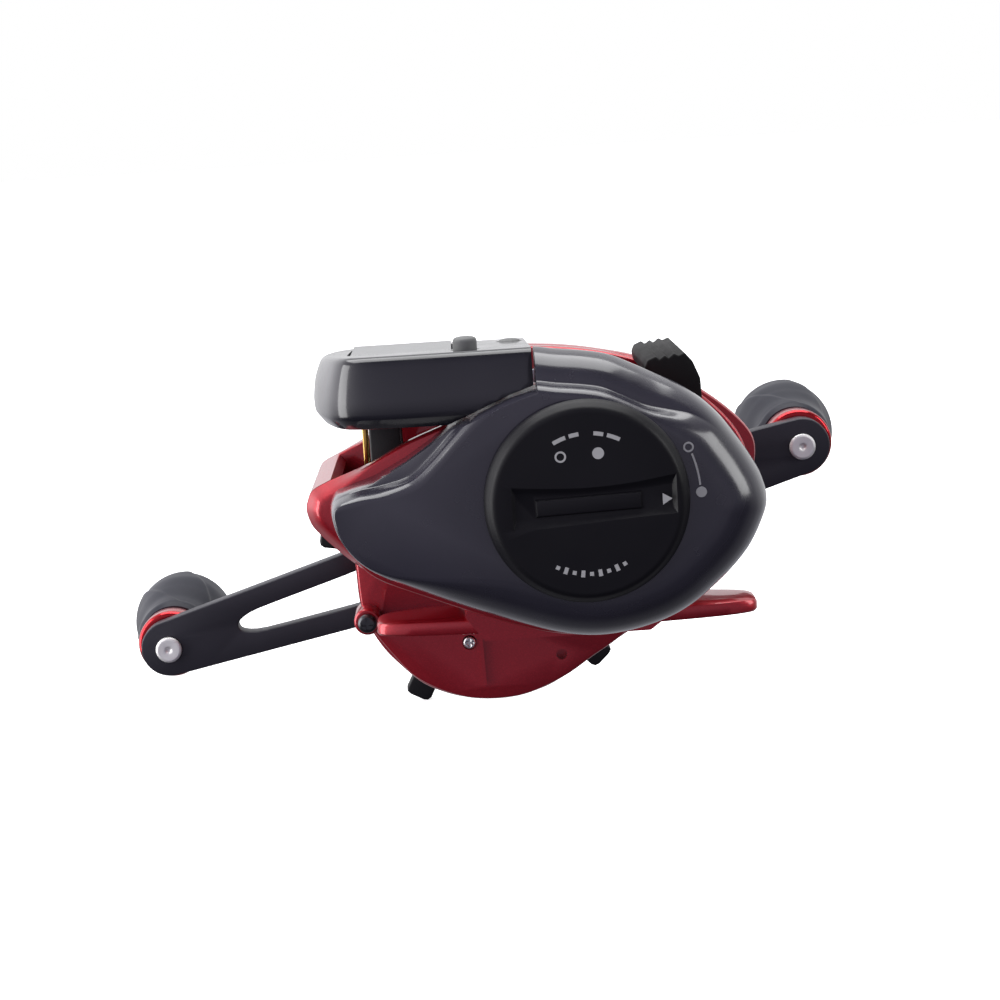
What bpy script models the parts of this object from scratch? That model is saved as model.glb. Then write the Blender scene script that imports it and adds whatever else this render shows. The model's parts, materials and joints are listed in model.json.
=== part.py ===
"""Low-profile baitcasting reel with an electronic line counter, right-hand retrieve.

Millimetres are used for the driving dimensions and are turned into metres by MM.
Frame: +X points to the angler (rear), -X to the rod tip, +Z up, +Y to the handle
side.  The origin is the middle of the underside of the reel foot.
"""
import math
import bmesh
import bpy
from mathutils import Matrix, Vector

for ob in list(bpy.data.objects):
    bpy.data.objects.remove(ob, do_unlink=True)

MM = 0.001

# ---------------------------------------------------------------- dimensions
SPOOL_AXIS = (1.9, 21.9)          # x, z of the spool, pinion and cast cap
DRIVE_AXIS = (-11.6, 5.2)         # x, z of the drive shaft, star and handle
WORM_AXIS = (-24.5, 19.0)         # x, z of the level-wind worm
RAIL_AXIS = (-30.5, 20.6)         # x, z of the level-wind guide rail
DIAL_AXIS = (2.5, 22.7)           # x, z of the battery cap

FRAME_PALM = (-14.7, -11.7)       # y of the palm-side frame ring
FRAME_GEAR = (11.7, 14.2)         # y of the handle-side frame wall
COVER_Y0 = 14.5                   # y where the gear-side cover starts
COVER_FACE = 25.0                 # y of the gear-side cover's outer face
COVER_WALL = 1.2

SPOOL_R = 15.7
SPOOL_HOLE_R = 16.2
SPOOL_HALF = 11.0

FOOT_LENGTH = 57.0
FOOT_T = 2.2

HANDLE_SPAN = 110.0               # between the two knob axes
HANDLE_ANGLE = math.radians(14.3)
HANDLE_END_R = 4.65
HANDLE_HUB_W = 7.5
HANDLE_T = 2.8
HANDLE_END_Y = 32.0
HANDLE_HUB_Y = 34.6

STAR_TIP_R = 27.0
STAR_FIRST = math.radians(26.0)

DRIVE_TEETH, PINION_TEETH = 64, 12
CROSS_TEETH, WORM_TEETH = 42, 21

CAP_R = 14.1                      # rim of the battery cap
CAP_SKIRT_R = 12.4
CAP_POCKET_R = 12.95


# ---------------------------------------------------------------- materials
def material(name, colour, rough, metal=0.0):
    mat = bpy.data.materials.new(name)
    mat.use_nodes = True
    bsdf = mat.node_tree.nodes["Principled BSDF"]
    bsdf.inputs["Base Color"].default_value = (*colour, 1.0)
    bsdf.inputs["Roughness"].default_value = rough
    bsdf.inputs["Metallic"].default_value = metal
    mat.diffuse_color = (*colour, 1.0)
    return mat


RED = ((0.19, 0.010, 0.018), 0.28, 0.75)
BLACK_GLOSS = ((0.017, 0.015, 0.021), 0.18, 0.0)
BLACK_SATIN = ((0.012, 0.011, 0.012), 0.42, 0.0)
BLACK_METAL = ((0.014, 0.014, 0.015), 0.38, 0.6)
RED_ANOD = ((0.30, 0.008, 0.015), 0.25, 0.9)
STEEL = ((0.55, 0.55, 0.55), 0.3, 1.0)
ALU = ((0.45, 0.45, 0.47), 0.3, 1.0)
BRASS = ((0.55, 0.38, 0.13), 0.3, 1.0)
RUBBER = ((0.02, 0.02, 0.02), 0.8, 0.0)
GREY_RUBBER = ((0.13, 0.13, 0.13), 0.6, 0.0)
NYLON = ((0.75, 0.74, 0.70), 0.5, 0.0)
CARBON = ((0.03, 0.03, 0.03), 0.6, 0.0)
GREEN = ((0.01, 0.10, 0.03), 0.4, 0.0)
LCD = ((0.30, 0.33, 0.29), 0.3, 0.0)
GLASS = ((0.03, 0.03, 0.035), 0.05, 0.0)


# ---------------------------------------------------------------- mesh helpers
def put(name, bm, finish, origin=(0.0, 0.0, 0.0)):
    """Turn a bmesh in millimetres into a named object in metres whose origin
    lies at the given point."""
    bmesh.ops.recalc_face_normals(bm, faces=bm.faces)
    o = Vector(origin)
    for v in bm.verts:
        v.co = (v.co - o) * MM
    me = bpy.data.meshes.new(name)
    bm.to_mesh(me)
    bm.free()
    ob = bpy.data.objects.new(name, me)
    ob.location = o * MM
    bpy.context.scene.collection.objects.link(ob)
    if finish is not None:
        me.materials.append(material(name + "_mat", *finish))
    return ob


def prism_bm(outline, y0, y1):
    """Outline in (x, z) carried from y0 to y1."""
    bm = bmesh.new()
    a = [bm.verts.new((x, y0, z)) for x, z in outline]
    b = [bm.verts.new((x, y1, z)) for x, z in outline]
    n = len(outline)
    bm.faces.new(a)
    bm.faces.new(list(reversed(b)))
    for i in range(n):
        j = (i + 1) % n
        bm.faces.new((a[i], b[i], b[j], a[j]))
    return bm


def prism(name, outline, y0, y1, finish, origin=(0, 0, 0)):
    return put(name, prism_bm(outline, y0, y1), finish, origin)


def prism_z(name, outline, z0, z1, finish, origin=(0, 0, 0)):
    """Outline in (x, y) carried from z0 to z1."""
    bm = bmesh.new()
    a = [bm.verts.new((x, y, z0)) for x, y in outline]
    b = [bm.verts.new((x, y, z1)) for x, y in outline]
    n = len(outline)
    bm.faces.new(a)
    bm.faces.new(list(reversed(b)))
    for i in range(n):
        j = (i + 1) % n
        bm.faces.new((a[i], b[i], b[j], a[j]))
    return put(name, bm, finish, origin)


def loft_bm(rings):
    """Closed skin over rings of equal point count, capped at both ends."""
    bm = bmesh.new()
    rows = [[bm.verts.new(p) for p in ring] for ring in rings]
    n = len(rows[0])
    for lo, hi in zip(rows, rows[1:]):
        for i in range(n):
            j = (i + 1) % n
            bm.faces.new((lo[i], hi[i], hi[j], lo[j]))
    bm.faces.new(rows[0])
    bm.faces.new(list(reversed(rows[-1])))
    return bm


def facets(r):
    """Sides of a round piece, from its radius in millimetres."""
    for limit, n in ((1.3, 8), (2.4, 10), (3.5, 12), (6.1, 16), (9.0, 20), (13.0, 26), (14.5, 30)):
        if r <= limit:
            return n
    return 36


def turned_bm(profile, centre, axis="Y"):
    """Closed profile of (radius, height) turned about an axis; a radius of 0
    makes a pole.  centre is (x, z) for axis Y and (x, y) for axis Z."""
    bm = bmesh.new()
    seg = facets(max(r for r, h in profile))
    rings = []
    for r, h in profile:
        if r < 1e-6:
            p = (centre[0], h, centre[1]) if axis == "Y" else (centre[0], centre[1], h)
            rings.append([bm.verts.new(p)])
            continue
        ring = []
        for k in range(seg):
            t = 2 * math.pi * (k + 0.5) / seg
            u, w = centre[0] + r * math.cos(t), centre[1] + r * math.sin(t)
            p = (u, h, w) if axis == "Y" else (u, w, h)
            ring.append(bm.verts.new(p))
        rings.append(ring)
    m = len(rings)
    for i in range(m):
        a, b = rings[i], rings[(i + 1) % m]
        if len(a) == 1 and len(b) == 1:
            continue
        for k in range(seg):
            l = (k + 1) % seg
            if len(a) == 1:
                bm.faces.new((a[0], b[k], b[l]))
            elif len(b) == 1:
                bm.faces.new((a[k], b[0], a[l]))
            else:
                bm.faces.new((a[k], b[k], b[l], a[l]))
    return bm


def turned(name, profile, centre, finish, axis="Y", origin=None):
    if origin is None:
        ys = [h for r, h in profile]
        mid = 0.5 * (min(ys) + max(ys))
        origin = (centre[0], mid, centre[1]) if axis == "Y" else (centre[0], centre[1], mid)
    ob = put(name, turned_bm(profile, centre, axis), finish, origin)
    if finish is not None:
        ob.data.shade_smooth()
        ob.data.set_sharp_from_angle(angle=math.radians(32))
    return ob


def ring_profile(r_in, r_out, y0, y1):
    return [(r_in, y0), (r_out, y0), (r_out, y1), (r_in, y1)]


def rod_profile(steps):
    """Solid round bar from (radius, y) steps."""
    return [(0.0, steps[0][1])] + list(steps) + [(0.0, steps[-1][1])]


def cylinder(r, y0, y1, centre, axis="Y"):
    return turned("cutter", rod_profile([(r, y0), (r, y1)]), centre, None, axis)


def boolean(ob, tool, mode="DIFFERENCE"):
    """Exact Boolean whose result replaces the mesh; the tool is used up."""
    tool.hide_render = True
    tool.display_type = "WIRE"
    mod = ob.modifiers.new("bool", "BOOLEAN")
    mod.object = tool
    mod.operation = mode
    mod.solver = "EXACT"
    bpy.context.view_layer.update()
    dg = bpy.context.evaluated_depsgraph_get()
    me = bpy.data.meshes.new_from_object(ob.evaluated_get(dg))
    old = ob.data
    ob.modifiers.clear()
    ob.data = me
    if old.materials:
        me.materials.clear()
        me.materials.append(old.materials[0])
        for poly in me.polygons:
            poly.material_index = 0
    bpy.data.meshes.remove(old)
    bpy.data.objects.remove(tool, do_unlink=True)
    return ob


def tidy(ob, dist=0.004):
    """Merge the slivers that a Boolean leaves."""
    bm = bmesh.new()
    bm.from_mesh(ob.data)
    bmesh.ops.remove_doubles(bm, verts=bm.verts, dist=dist * MM)
    bmesh.ops.dissolve_degenerate(bm, edges=bm.edges, dist=0.002 * MM)
    bm.to_mesh(ob.data)
    bm.free()
    return ob


def bevel(ob, width, segments=1, angle=40):
    mod = ob.modifiers.new("bevel", "BEVEL")
    mod.width = width * MM
    mod.segments = segments
    mod.limit_method = "ANGLE"
    mod.angle_limit = math.radians(angle)
    return ob


def inset(outline, d):
    """Move each corner of a closed anticlockwise or clockwise outline inwards
    by d (a number, or a function of the corner's index)."""
    n = len(outline)
    area = sum(outline[i][0] * outline[(i + 1) % n][1] - outline[(i + 1) % n][0] * outline[i][1] for i in range(n))
    s = 1.0 if area > 0 else -1.0
    out = []
    for i, (x, z) in enumerate(outline):
        x0, z0 = outline[i - 1]
        x1, z1 = outline[(i + 1) % n]
        tx, tz = x1 - x0, z1 - z0
        L = math.hypot(tx, tz) or 1.0
        k = d(i) if callable(d) else d
        out.append((x - s * tz / L * k, z + s * tx / L * k))
    return out


def smooth_outline(points, n):
    """Closed Catmull-Rom curve through the points, read at n even steps."""
    m = len(points)
    dense = []
    for i in range(m):
        p0, p1, p2, p3 = (points[(i + k) % m] for k in (-1, 0, 1, 2))
        for s in range(12):
            t = s / 12.0
            q = []
            for a in (0, 1):
                q.append(0.5 * (2 * p1[a] + (p2[a] - p0[a]) * t
                                + (2 * p0[a] - 5 * p1[a] + 4 * p2[a] - p3[a]) * t * t
                                + (3 * p1[a] - p0[a] - 3 * p2[a] + p3[a]) * t ** 3))
            dense.append(tuple(q))
    lens = [0.0]
    k = len(dense)
    for i in range(k):
        a, b = dense[i], dense[(i + 1) % k]
        lens.append(lens[-1] + math.hypot(b[0] - a[0], b[1] - a[1]))
    out, j = [], 0
    for i in range(n):
        want = lens[-1] * i / n
        while lens[j + 1] < want:
            j += 1
        t = (want - lens[j]) / ((lens[j + 1] - lens[j]) or 1.0)
        a, b = dense[j], dense[(j + 1) % k]
        out.append((a[0] + (b[0] - a[0]) * t, a[1] + (b[1] - a[1]) * t))
    return out


def gear_outline(teeth, module, centre, phase, steps, add=0.8, ded=1.05, play=0.10):
    """Involute spur gear outline, 20 degree pressure angle, tooth centred on
    the phase angle."""
    rp = 0.5 * module * teeth
    rb = rp * math.cos(math.radians(20))
    ra, rf = rp + add * module, rp - ded * module
    inv = lambda a: math.tan(a) - a
    half_p = math.pi / (2 * teeth) - play / (2 * rp)

    def half(r):
        if r <= rb:
            return half_p + inv(math.radians(20))
        return half_p + inv(math.radians(20)) - inv(math.acos(rb / r))

    radii = [rf + (ra - rf) * k / (steps - 1) for k in range(steps)]
    pts = []
    for k in range(teeth):
        c = phase + 2 * math.pi * k / teeth
        for r in radii:
            pts.append((r, c - half(r)))
        for r in reversed(radii):
            pts.append((r, c + half(r)))
    return [(centre[0] + r * math.cos(a), centre[1] + r * math.sin(a)) for r, a in pts]


def box(x0, x1, y0, y1, z0, z1):
    return prism_bm([(x0, z0), (x1, z0), (x1, z1), (x0, z1)], y0, y1)


def tool_box(x0, x1, y0, y1, z0, z1):
    return put("cutter", box(x0, x1, y0, y1, z0, z1), None)


# ---------------------------------------------------------------- outlines (x, z)
# palm side plate rim, without the notch for the counter housing
PALM = [(-3.6, 43.3), (0.4, 42.7), (5.9, 41.9), (10.0, 40.2), (14.1, 38.1), (18.2, 35.8),
        (22.2, 32.0), (24.9, 28.1), (27.0, 24.6), (28.2, 20.7), (27.3, 17.1), (25.2, 13.2),
        (21.7, 9.4), (16.8, 5.5), (12.4, 3.5), (8.1, 2.4), (3.8, 2.0), (-0.4, 2.4),
        (-4.6, 3.5), (-10.2, 5.5), (-15.0, 7.4), (-19.2, 9.3), (-23.3, 11.3), (-26.2, 12.9),
        (-28.6, 14.7), (-30.8, 17.2), (-32.2, 20.0), (-33.0, 23.2), (-31.0, 25.2), (-27.0, 27.8),
        (-22.0, 32.0), (-17.0, 37.0), (-13.0, 40.3), (-8.5, 42.6)]
# lower edge of the counter housing, from the front to the seam at its rear
HOOD_EDGE = [(-60.0, 33.2), (-15.8, 33.2), (-11.3, 35.2), (-7.0, 37.0), (-3.6, 38.1)]
SEAM_X = -3.6
# the plates stop just under that edge; ahead of it they follow the sight window
NOTCH = [(-60.0, 60.0), (-60.0, 24.3), (-33.2, 24.3), (-30.8, 25.0), (-26.4, 26.4), (-22.0, 28.7),
         (-18.4, 31.0), (-15.8, 32.8), (-11.3, 34.8), (-7.0, 36.6), (-3.3, 37.7), (-3.3, 60.0)]


def notch(y0, y1, drop=0.0):
    pts = [(x, z - (drop if z < 59 else 0.0)) for x, z in NOTCH]
    return put("cutter", prism_bm(pts, y0, y1), None)


# ================================================================ frame
ring = [(-33.0, 25.6), (-35.6, 24.3), (-36.5, 22.7), (-36.7, 21.2), (-36.1, 19.2), (-34.8, 17.5),
        (-33.2, 15.8), (-31.2, 13.9), (-29.0, 12.2), (-26.0, 10.6), (-19.5, 7.8), (-15.2, 6.0),
        (-10.3, 4.1), (-4.6, 2.2), (-0.4, 1.4), (3.8, 1.1), (8.1, 1.5), (12.4, 2.7), (16.8, 4.8),
        (21.6, 8.7), (24.9, 12.6), (26.9, 16.8), (27.7, 20.7), (26.4, 24.5), (24.4, 27.8),
        (21.8, 31.5), (17.9, 35.3), (13.9, 37.6), (9.9, 39.7), (5.8, 41.3), (0.4, 42.1),
        (-3.3, 42.6), (-3.3, 37.7), (-7.0, 36.6), (-11.3, 34.8), (-15.8, 32.8), (-20.6, 31.0),
        (-23.2, 29.8), (-26.6, 28.0), (-29.6, 26.8)]
gear_ring = [(-33.0, 25.6), (-35.6, 24.3), (-36.5, 22.7), (-36.7, 21.2), (-36.1, 19.2), (-34.8, 17.5),
             (-33.2, 15.8), (-32.1, 13.0), (-31.7, 8.0), (-31.5, 3.0), (-31.0, -0.4), (-29.2, -3.6),
             (-26.9, -6.8), (-24.3, -10.0), (-21.6, -12.0), (-18.3, -13.6), (-14.8, -14.6), (-10.7, -14.9),
             (-6.8, -14.5), (-2.9, -13.2), (0.7, -11.4), (4.2, -9.1), (8.2, -6.6), (11.8, -3.6), (15.0, 0.2),
             (18.4, 4.6), (22.4, 8.7), (25.6, 12.6), (28.4, 16.8), (29.8, 20.7), (28.8, 24.5),
             (26.2, 28.2), (22.4, 31.7), (18.0, 34.9), (13.9, 37.0), (8.5, 38.7), (2.3, 39.8),
             (-3.3, 40.3), (-3.3, 37.7), (-7.0, 36.6), (-11.3, 34.8), (-15.8, 32.8), (-20.6, 31.0),
             (-24.0, 29.6), (-27.5, 28.0), (-30.4, 26.8)]
apron = [(-33.0, 25.6), (-35.6, 24.3), (-36.5, 22.7), (-36.7, 21.2), (-36.1, 19.2), (-34.8, 17.5),
         (-33.2, 15.8), (-31.2, 13.9), (-29.0, 12.2), (-26.0, 10.6), (-25.2, 12.4), (-27.9, 13.8),
         (-29.8, 15.3), (-31.7, 17.1), (-33.2, 18.8), (-34.3, 20.6), (-34.4, 22.2), (-33.6, 23.4),
         (-32.0, 24.3)]

frame = put("frame", prism_bm(ring, *FRAME_PALM), RED)
boolean(frame, put("cutter", prism_bm(gear_ring, *FRAME_GEAR), None), "UNION")
boolean(frame, put("cutter", prism_bm(apron, -13.2, 12.9), None), "UNION")
# rear bar under the thumb bar, and the bottom bridge that carries the foot
rear_bar = [(20.2, 10.6), (22.4, 11.4), (24.4, 14.0), (26.0, 18.6), (25.6, 22.6), (24.0, 25.2),
            (22.6, 24.6), (22.9, 20.5), (22.0, 16.0), (19.6, 12.2)]
boolean(frame, put("cutter", prism_bm(rear_bar, -13.2, 12.9), None), "UNION")
bridge = [(-14.6, 6.0), (-15.2, 4.6), (-12.6, 0.9), (13.4, 0.9), (17.0, 4.3), (15.4, 5.6), (11.2, 4.2),
          (5.5, 3.7), (-3.0, 3.7), (-9.2, 4.7)]
boolean(frame, put("cutter", prism_bm(bridge, -13.2, 12.9), None), "UNION")

# reel foot: a flat tongue, broad at the middle and rounded at both ends
half = FOOT_LENGTH / 2
foot_plan = []
for sx, sy in ((1, -1), (1, 1), (-1, 1), (-1, -1)):
    quarter = [(14.0, 7.2), (19.0, 6.2), (24.0, 5.2), (26.8, 4.5), (half - 0.5, 3.0), (half, 1.2)]
    quarter = [(sx * x, sy * y) for x, y in quarter]
    if sx * sy > 0:
        quarter.reverse()
    foot_plan += quarter


def foot_ring(z, shrink):
    k = 1.0 - shrink / half
    return [(x * k, y - math.copysign(min(shrink, abs(y)), y), z) for x, y in foot_plan]


def foot_top(x, y):
    """The tongue thins towards its ends and is crowned across."""
    e = abs(x) / half
    return FOOT_T - 0.9 * e ** 2.2 - 0.012 * y * y


rows = [foot_ring(0.0, 0.5), foot_ring(0.4, 0.0)]
top = foot_ring(0.0, 0.4)
rows.append([(x, y, foot_top(x, y) * 0.8) for x, y, z in foot_ring(0.0, 0.0)])
rows.append([(x, y, foot_top(x, y)) for x, y, z in foot_ring(0.0, 0.8)])
boolean(frame, put("cutter", loft_bm(rows), None), "UNION")

# bosses on the wall of the gear side: the front lug, and the rib below it
boolean(frame, cylinder(2.1, 8.4, 14.2, (-30.4, -0.4)), "UNION")
boolean(frame, put("cutter", prism_bm([(-13.6, -2.9), (-12.8, -2.9), (-12.5, -12.3), (-13.3, -12.5)],
                                      11.1, 12.4), None), "UNION")

# openings
boolean(frame, cylinder(SPOOL_HOLE_R, -16.0, -10.5, SPOOL_AXIS))
boolean(frame, cylinder(5.0, 10.0, 15.0, SPOOL_AXIS))
boolean(frame, cylinder(4.8, 10.0, 15.0, DRIVE_AXIS))
boolean(frame, cylinder(1.35, 10.0, 15.0, WORM_AXIS))
boolean(frame, cylinder(1.35, -14.2, -10.5, WORM_AXIS))
boolean(frame, cylinder(1.25, -13.4, 13.3, RAIL_AXIS))
slot_dir = Vector((0.6, -0.8))
a, b = Vector((18.0, 32.4)), Vector((20.4, 29.2))
nrm = Vector((0.8, 0.6)) * 1.25
slot = [a - slot_dir * 1.25 + nrm, b + slot_dir * 1.25 + nrm, b + slot_dir * 1.25 - nrm, a - slot_dir * 1.25 - nrm]
boolean(frame, put("cutter", prism_bm([(p.x, p.y) for p in slot], 10.0, 15.2), None))
boolean(frame, cylinder(1.05, 6.0, 13.6, (-30.4, -0.4)))
boolean(frame, cylinder(1.05, 10.0, 13.6, (-14.9, -5.5)))
boolean(frame, cylinder(1.2, 10.9, 12.3, (-14.9, -5.5)))
boolean(frame, cylinder(0.85, 10.9, 13.4, (-0.6, -8.4)))
tidy(frame)

# ================================================================ palm side plate
palm0 = smooth_outline(PALM, 44)


def plate_ring(y, d, crown=0.0):
    return [(x, y, z) for x, z in inset(palm0, d)]


def shoulder(d_top, d_low):
    """Wider shoulder over the upper rim than under the lower one."""
    def f(i):
        x, z = palm0[i]
        t = min(1.0, max(0.0, (z - 12.0) / 20.0))
        return d_low + (d_top - d_low) * t
    return f


rows = [plate_ring(-15.0, 0.9), plate_ring(-16.2, 0.1), plate_ring(-17.4, 0.0),
        plate_ring(-19.8, shoulder(1.7, 0.9)), plate_ring(-22.0, shoulder(3.9, 2.4)),
        plate_ring(-24.4, shoulder(4.5, 4.6)), plate_ring(-25.2, shoulder(5.1, 6.6))]
plate = put("palm_side_plate", loft_bm(rows), BLACK_GLOSS)
# stepped pocket for the battery cap's skirt and the coin cell
boolean(plate, turned("cutter", rod_profile([(CAP_POCKET_R, -30.0), (CAP_POCKET_R, -22.8), (10.4, -22.8), (10.4, -19.2)]),
                      DIAL_AXIS, None))
boolean(plate, notch(-40.0, -10.0))
# brake cavity on the inner side, with the bearing boss in its middle
boolean(plate, turned("cutter", [(6.3, -18.0), (14.6, -18.0), (14.6, -14.0), (6.3, -14.0)], SPOOL_AXIS, None))
boolean(plate, cylinder(4.2, -17.2, -14.0, SPOOL_AXIS))
tidy(plate)

# battery cap with its sunk grip bar
cap = turned("battery_cap", rod_profile([(12.0, -23.2), (CAP_SKIRT_R, -23.5), (CAP_SKIRT_R, -23.8), (11.8, -23.8), (11.8, -24.6),
                                         (CAP_SKIRT_R, -24.6), (CAP_SKIRT_R, -25.5), (CAP_R - 0.2, -25.5), (CAP_R, -26.3),
                                         (CAP_R - 1.0, -28.0)]), DIAL_AXIS, BLACK_SATIN,
             origin=(DIAL_AXIS[0], -26.0, DIAL_AXIS[1]))
groove = put("cutter", loft_bm([[(-9.8, -26.4, 20.4), (14.6, -26.4, 20.4), (14.6, -26.4, 25.0), (-9.8, -26.4, 25.0)],
                                [(-9.8, -29.0, 17.6), (14.6, -29.0, 17.6), (14.6, -29.0, 27.4), (-9.8, -29.0, 27.4)]]), None)
boolean(cap, groove)
grip = put("cutter", loft_bm([[(-4.6, -26.0, 21.1), (9.8, -26.0, 21.5), (9.8, -26.0, 24.0), (-4.6, -26.0, 23.6)],
                              [(-4.3, -28.2, 21.6), (9.5, -28.2, 22.0), (9.5, -28.2, 23.5), (-4.3, -28.2, 23.1)]]), None)
boolean(cap, grip, "UNION")
tidy(cap)
turned("battery_cap_seal", ring_profile(11.9, 12.65, -24.5, -23.9), DIAL_AXIS, RUBBER)
turned("coin_cell", rod_profile([(9.5, -22.9), (10.0, -22.5), (10.0, -20.1), (8.6, -19.75)]), DIAL_AXIS, STEEL)
prism("battery_contact", [(-3.0, 21.2), (8.0, 21.2), (8.0, 24.2), (-3.0, 24.2)], -19.65, -19.35, BRASS)
turned("brake_magnet_ring", ring_profile(8.2, 14.1, -17.7, -16.1), SPOOL_AXIS, STEEL)
turned("palm_spool_bearing", ring_profile(1.65, 3.9, -16.9, -14.6), SPOOL_AXIS, STEEL)

# ================================================================ spool
turned("spool", [(1.6, -9.0), (7.4, -9.0), (8.2, -11.0), (SPOOL_R - 0.4, -11.0), (SPOOL_R, -10.7),
                 (SPOOL_R, -10.2), (10.2, -9.6), (9.4, -8.6), (9.4, 8.6), (10.2, 9.6), (SPOOL_R, 10.2),
                 (SPOOL_R, 10.7), (SPOOL_R - 0.4, 11.0), (8.2, 11.0), (7.4, 9.0), (1.6, 9.0)],
       SPOOL_AXIS, ALU, origin=(SPOOL_AXIS[0], 0, SPOOL_AXIS[1]))
turned("spool_shaft", rod_profile([(1.2, -16.7), (1.5, -16.4), (1.5, 26.3), (1.0, 26.7)]), SPOOL_AXIS, STEEL)
turned("spool_counter_magnet", rod_profile([(2.2, -11.9), (2.2, -11.3)]), (SPOOL_AXIS[0] + 9.6, SPOOL_AXIS[1]), STEEL)

# ================================================================ gear train
sd = Vector((SPOOL_AXIS[0] - DRIVE_AXIS[0], SPOOL_AXIS[1] - DRIVE_AXIS[1]))
GEAR_M = 2 * sd.length / (DRIVE_TEETH + PINION_TEETH)
phi = math.atan2(sd.y, sd.x)
wd = Vector((WORM_AXIS[0] - DRIVE_AXIS[0], WORM_AXIS[1] - DRIVE_AXIS[1]))
CROSS_M = 2 * wd.length / (CROSS_TEETH + WORM_TEETH)
chi = math.atan2(wd.y, wd.x)

pinion = prism("pinion_gear", gear_outline(PINION_TEETH, GEAR_M, SPOOL_AXIS, phi + math.pi + math.pi / PINION_TEETH, 3),
               16.9, 20.2, BRASS, origin=(SPOOL_AXIS[0], 18.0, SPOOL_AXIS[1]))
boolean(pinion, put("cutter", turned_bm(rod_profile([(2.45, 12.2), (2.45, 21.0), (3.4, 21.3), (3.4, 21.9)]), SPOOL_AXIS), None), "UNION")
boolean(pinion, cylinder(1.75, 11.0, 23.0, SPOOL_AXIS))
tidy(pinion)
turned("pinion_bearing", ring_profile(2.6, 4.7, 12.0, 13.9), SPOOL_AXIS, STEEL)

gear = prism("drive_gear", gear_outline(DRIVE_TEETH, GEAR_M, DRIVE_AXIS, phi, 2), 17.5, 19.5, BRASS,
             origin=(DRIVE_AXIS[0], 18.5, DRIVE_AXIS[1]))
boolean(gear, put("cutter", turned_bm(rod_profile([(14.6, 18.5), (14.6, 21.0)]), DRIVE_AXIS), None), "UNION")
boolean(gear, put("cutter", turned_bm(rod_profile([(13.2, 18.6), (13.2, 22.5)]), DRIVE_AXIS), None))
boolean(gear, cylinder(3.0, 16.0, 20.0, DRIVE_AXIS))
tidy(gear)

# the gear that drives the level wind sits on the shaft under the drive gear
cross = prism("level_wind_drive_gear", gear_outline(CROSS_TEETH, CROSS_M, DRIVE_AXIS, chi, 2), 15.0, 16.3, NYLON,
              origin=(DRIVE_AXIS[0], 15.6, DRIVE_AXIS[1]))
boolean(cross, cylinder(2.35, 14.0, 18.0, DRIVE_AXIS))
worm_gear = prism("worm_gear", gear_outline(WORM_TEETH, CROSS_M, WORM_AXIS, chi + math.pi + math.pi / WORM_TEETH, 2), 15.0, 16.3,
                  NYLON, origin=(WORM_AXIS[0], 15.6, WORM_AXIS[1]))
boolean(worm_gear, cylinder(1.45, 14.0, 18.0, WORM_AXIS))

turned("drive_shaft", rod_profile([(2.0, 11.9), (2.0, 14.5), (2.05, 14.5), (2.05, 16.6), (6.8, 16.6), (6.8, 17.2),
                                   (2.7, 17.2), (2.7, 34.2), (2.45, 34.3), (2.45, 40.6)]), DRIVE_AXIS, STEEL)
turned("drive_shaft_bearing", ring_profile(2.15, 4.5, 12.0, 13.9), DRIVE_AXIS, STEEL)
turned("drag_washer", ring_profile(3.0, 12.8, 18.9, 19.5), DRIVE_AXIS, CARBON)
turned("drag_pressure_plate", ring_profile(3.0, 12.6, 19.8, 20.9), DRIVE_AXIS, STEEL)
turned("one_way_clutch_sleeve", ring_profile(2.85, 4.3, 21.2, 27.4), DRIVE_AXIS, STEEL)
turned("one_way_clutch", ring_profile(4.45, 7.2, 22.0, 26.6), DRIVE_AXIS, STEEL)

# clutch: cam ring, yoke and its two posts
yoke_u = Vector((-sd.y, sd.x)).normalized()
yoke_v = sd.normalized()


def local(u, v):
    p = Vector(SPOOL_AXIS) + yoke_u * u + yoke_v * v
    return (p.x, p.y)


arc = [local(2.9 * math.cos(t), 2.9 * math.sin(t)) for t in [math.pi + math.pi * k / 8 for k in range(9)]]
yoke_outline = ([local(-9.6, -2.0), local(-9.6, 2.0), local(-4.6, 2.2), local(-4.4, 5.2), local(-2.9, 5.2)] + arc
                + [local(2.9, 5.2), local(4.4, 5.2), local(4.6, 2.2), local(9.6, 2.0), local(9.6, -2.0), local(4.0, -4.6), local(-4.0, -4.6)])
yoke = prism("clutch_yoke", yoke_outline, 20.3, 20.9, STEEL)
for i, side in enumerate((-1, 1)):
    post = local(side * 7.9, 0.0)
    boolean(yoke, cylinder(1.2, 19.0, 22.0, post))
    turned("yoke_post_" + "ab"[i], rod_profile([(0.95, 14.5), (0.95, 22.9)]), post, STEEL)
cam = turned("clutch_cam", ring_profile(3.0, 6.4, 14.6, 15.8), SPOOL_AXIS, BLACK_METAL,
             origin=(SPOOL_AXIS[0], 15.2, SPOOL_AXIS[1]))
arm_a = math.radians(38)
ca, sa = math.cos(arm_a), math.sin(arm_a)
arm = [(5.6, -1.5), (14.2, -1.1), (14.2, 1.1), (5.6, 1.5)]
boolean(cam, put("cutter", prism_bm([(SPOOL_AXIS[0] + u * ca - v * sa, SPOOL_AXIS[1] + u * sa + v * ca) for u, v in arm],
                                    14.6, 15.8), None), "UNION")
tidy(cam)

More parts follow.
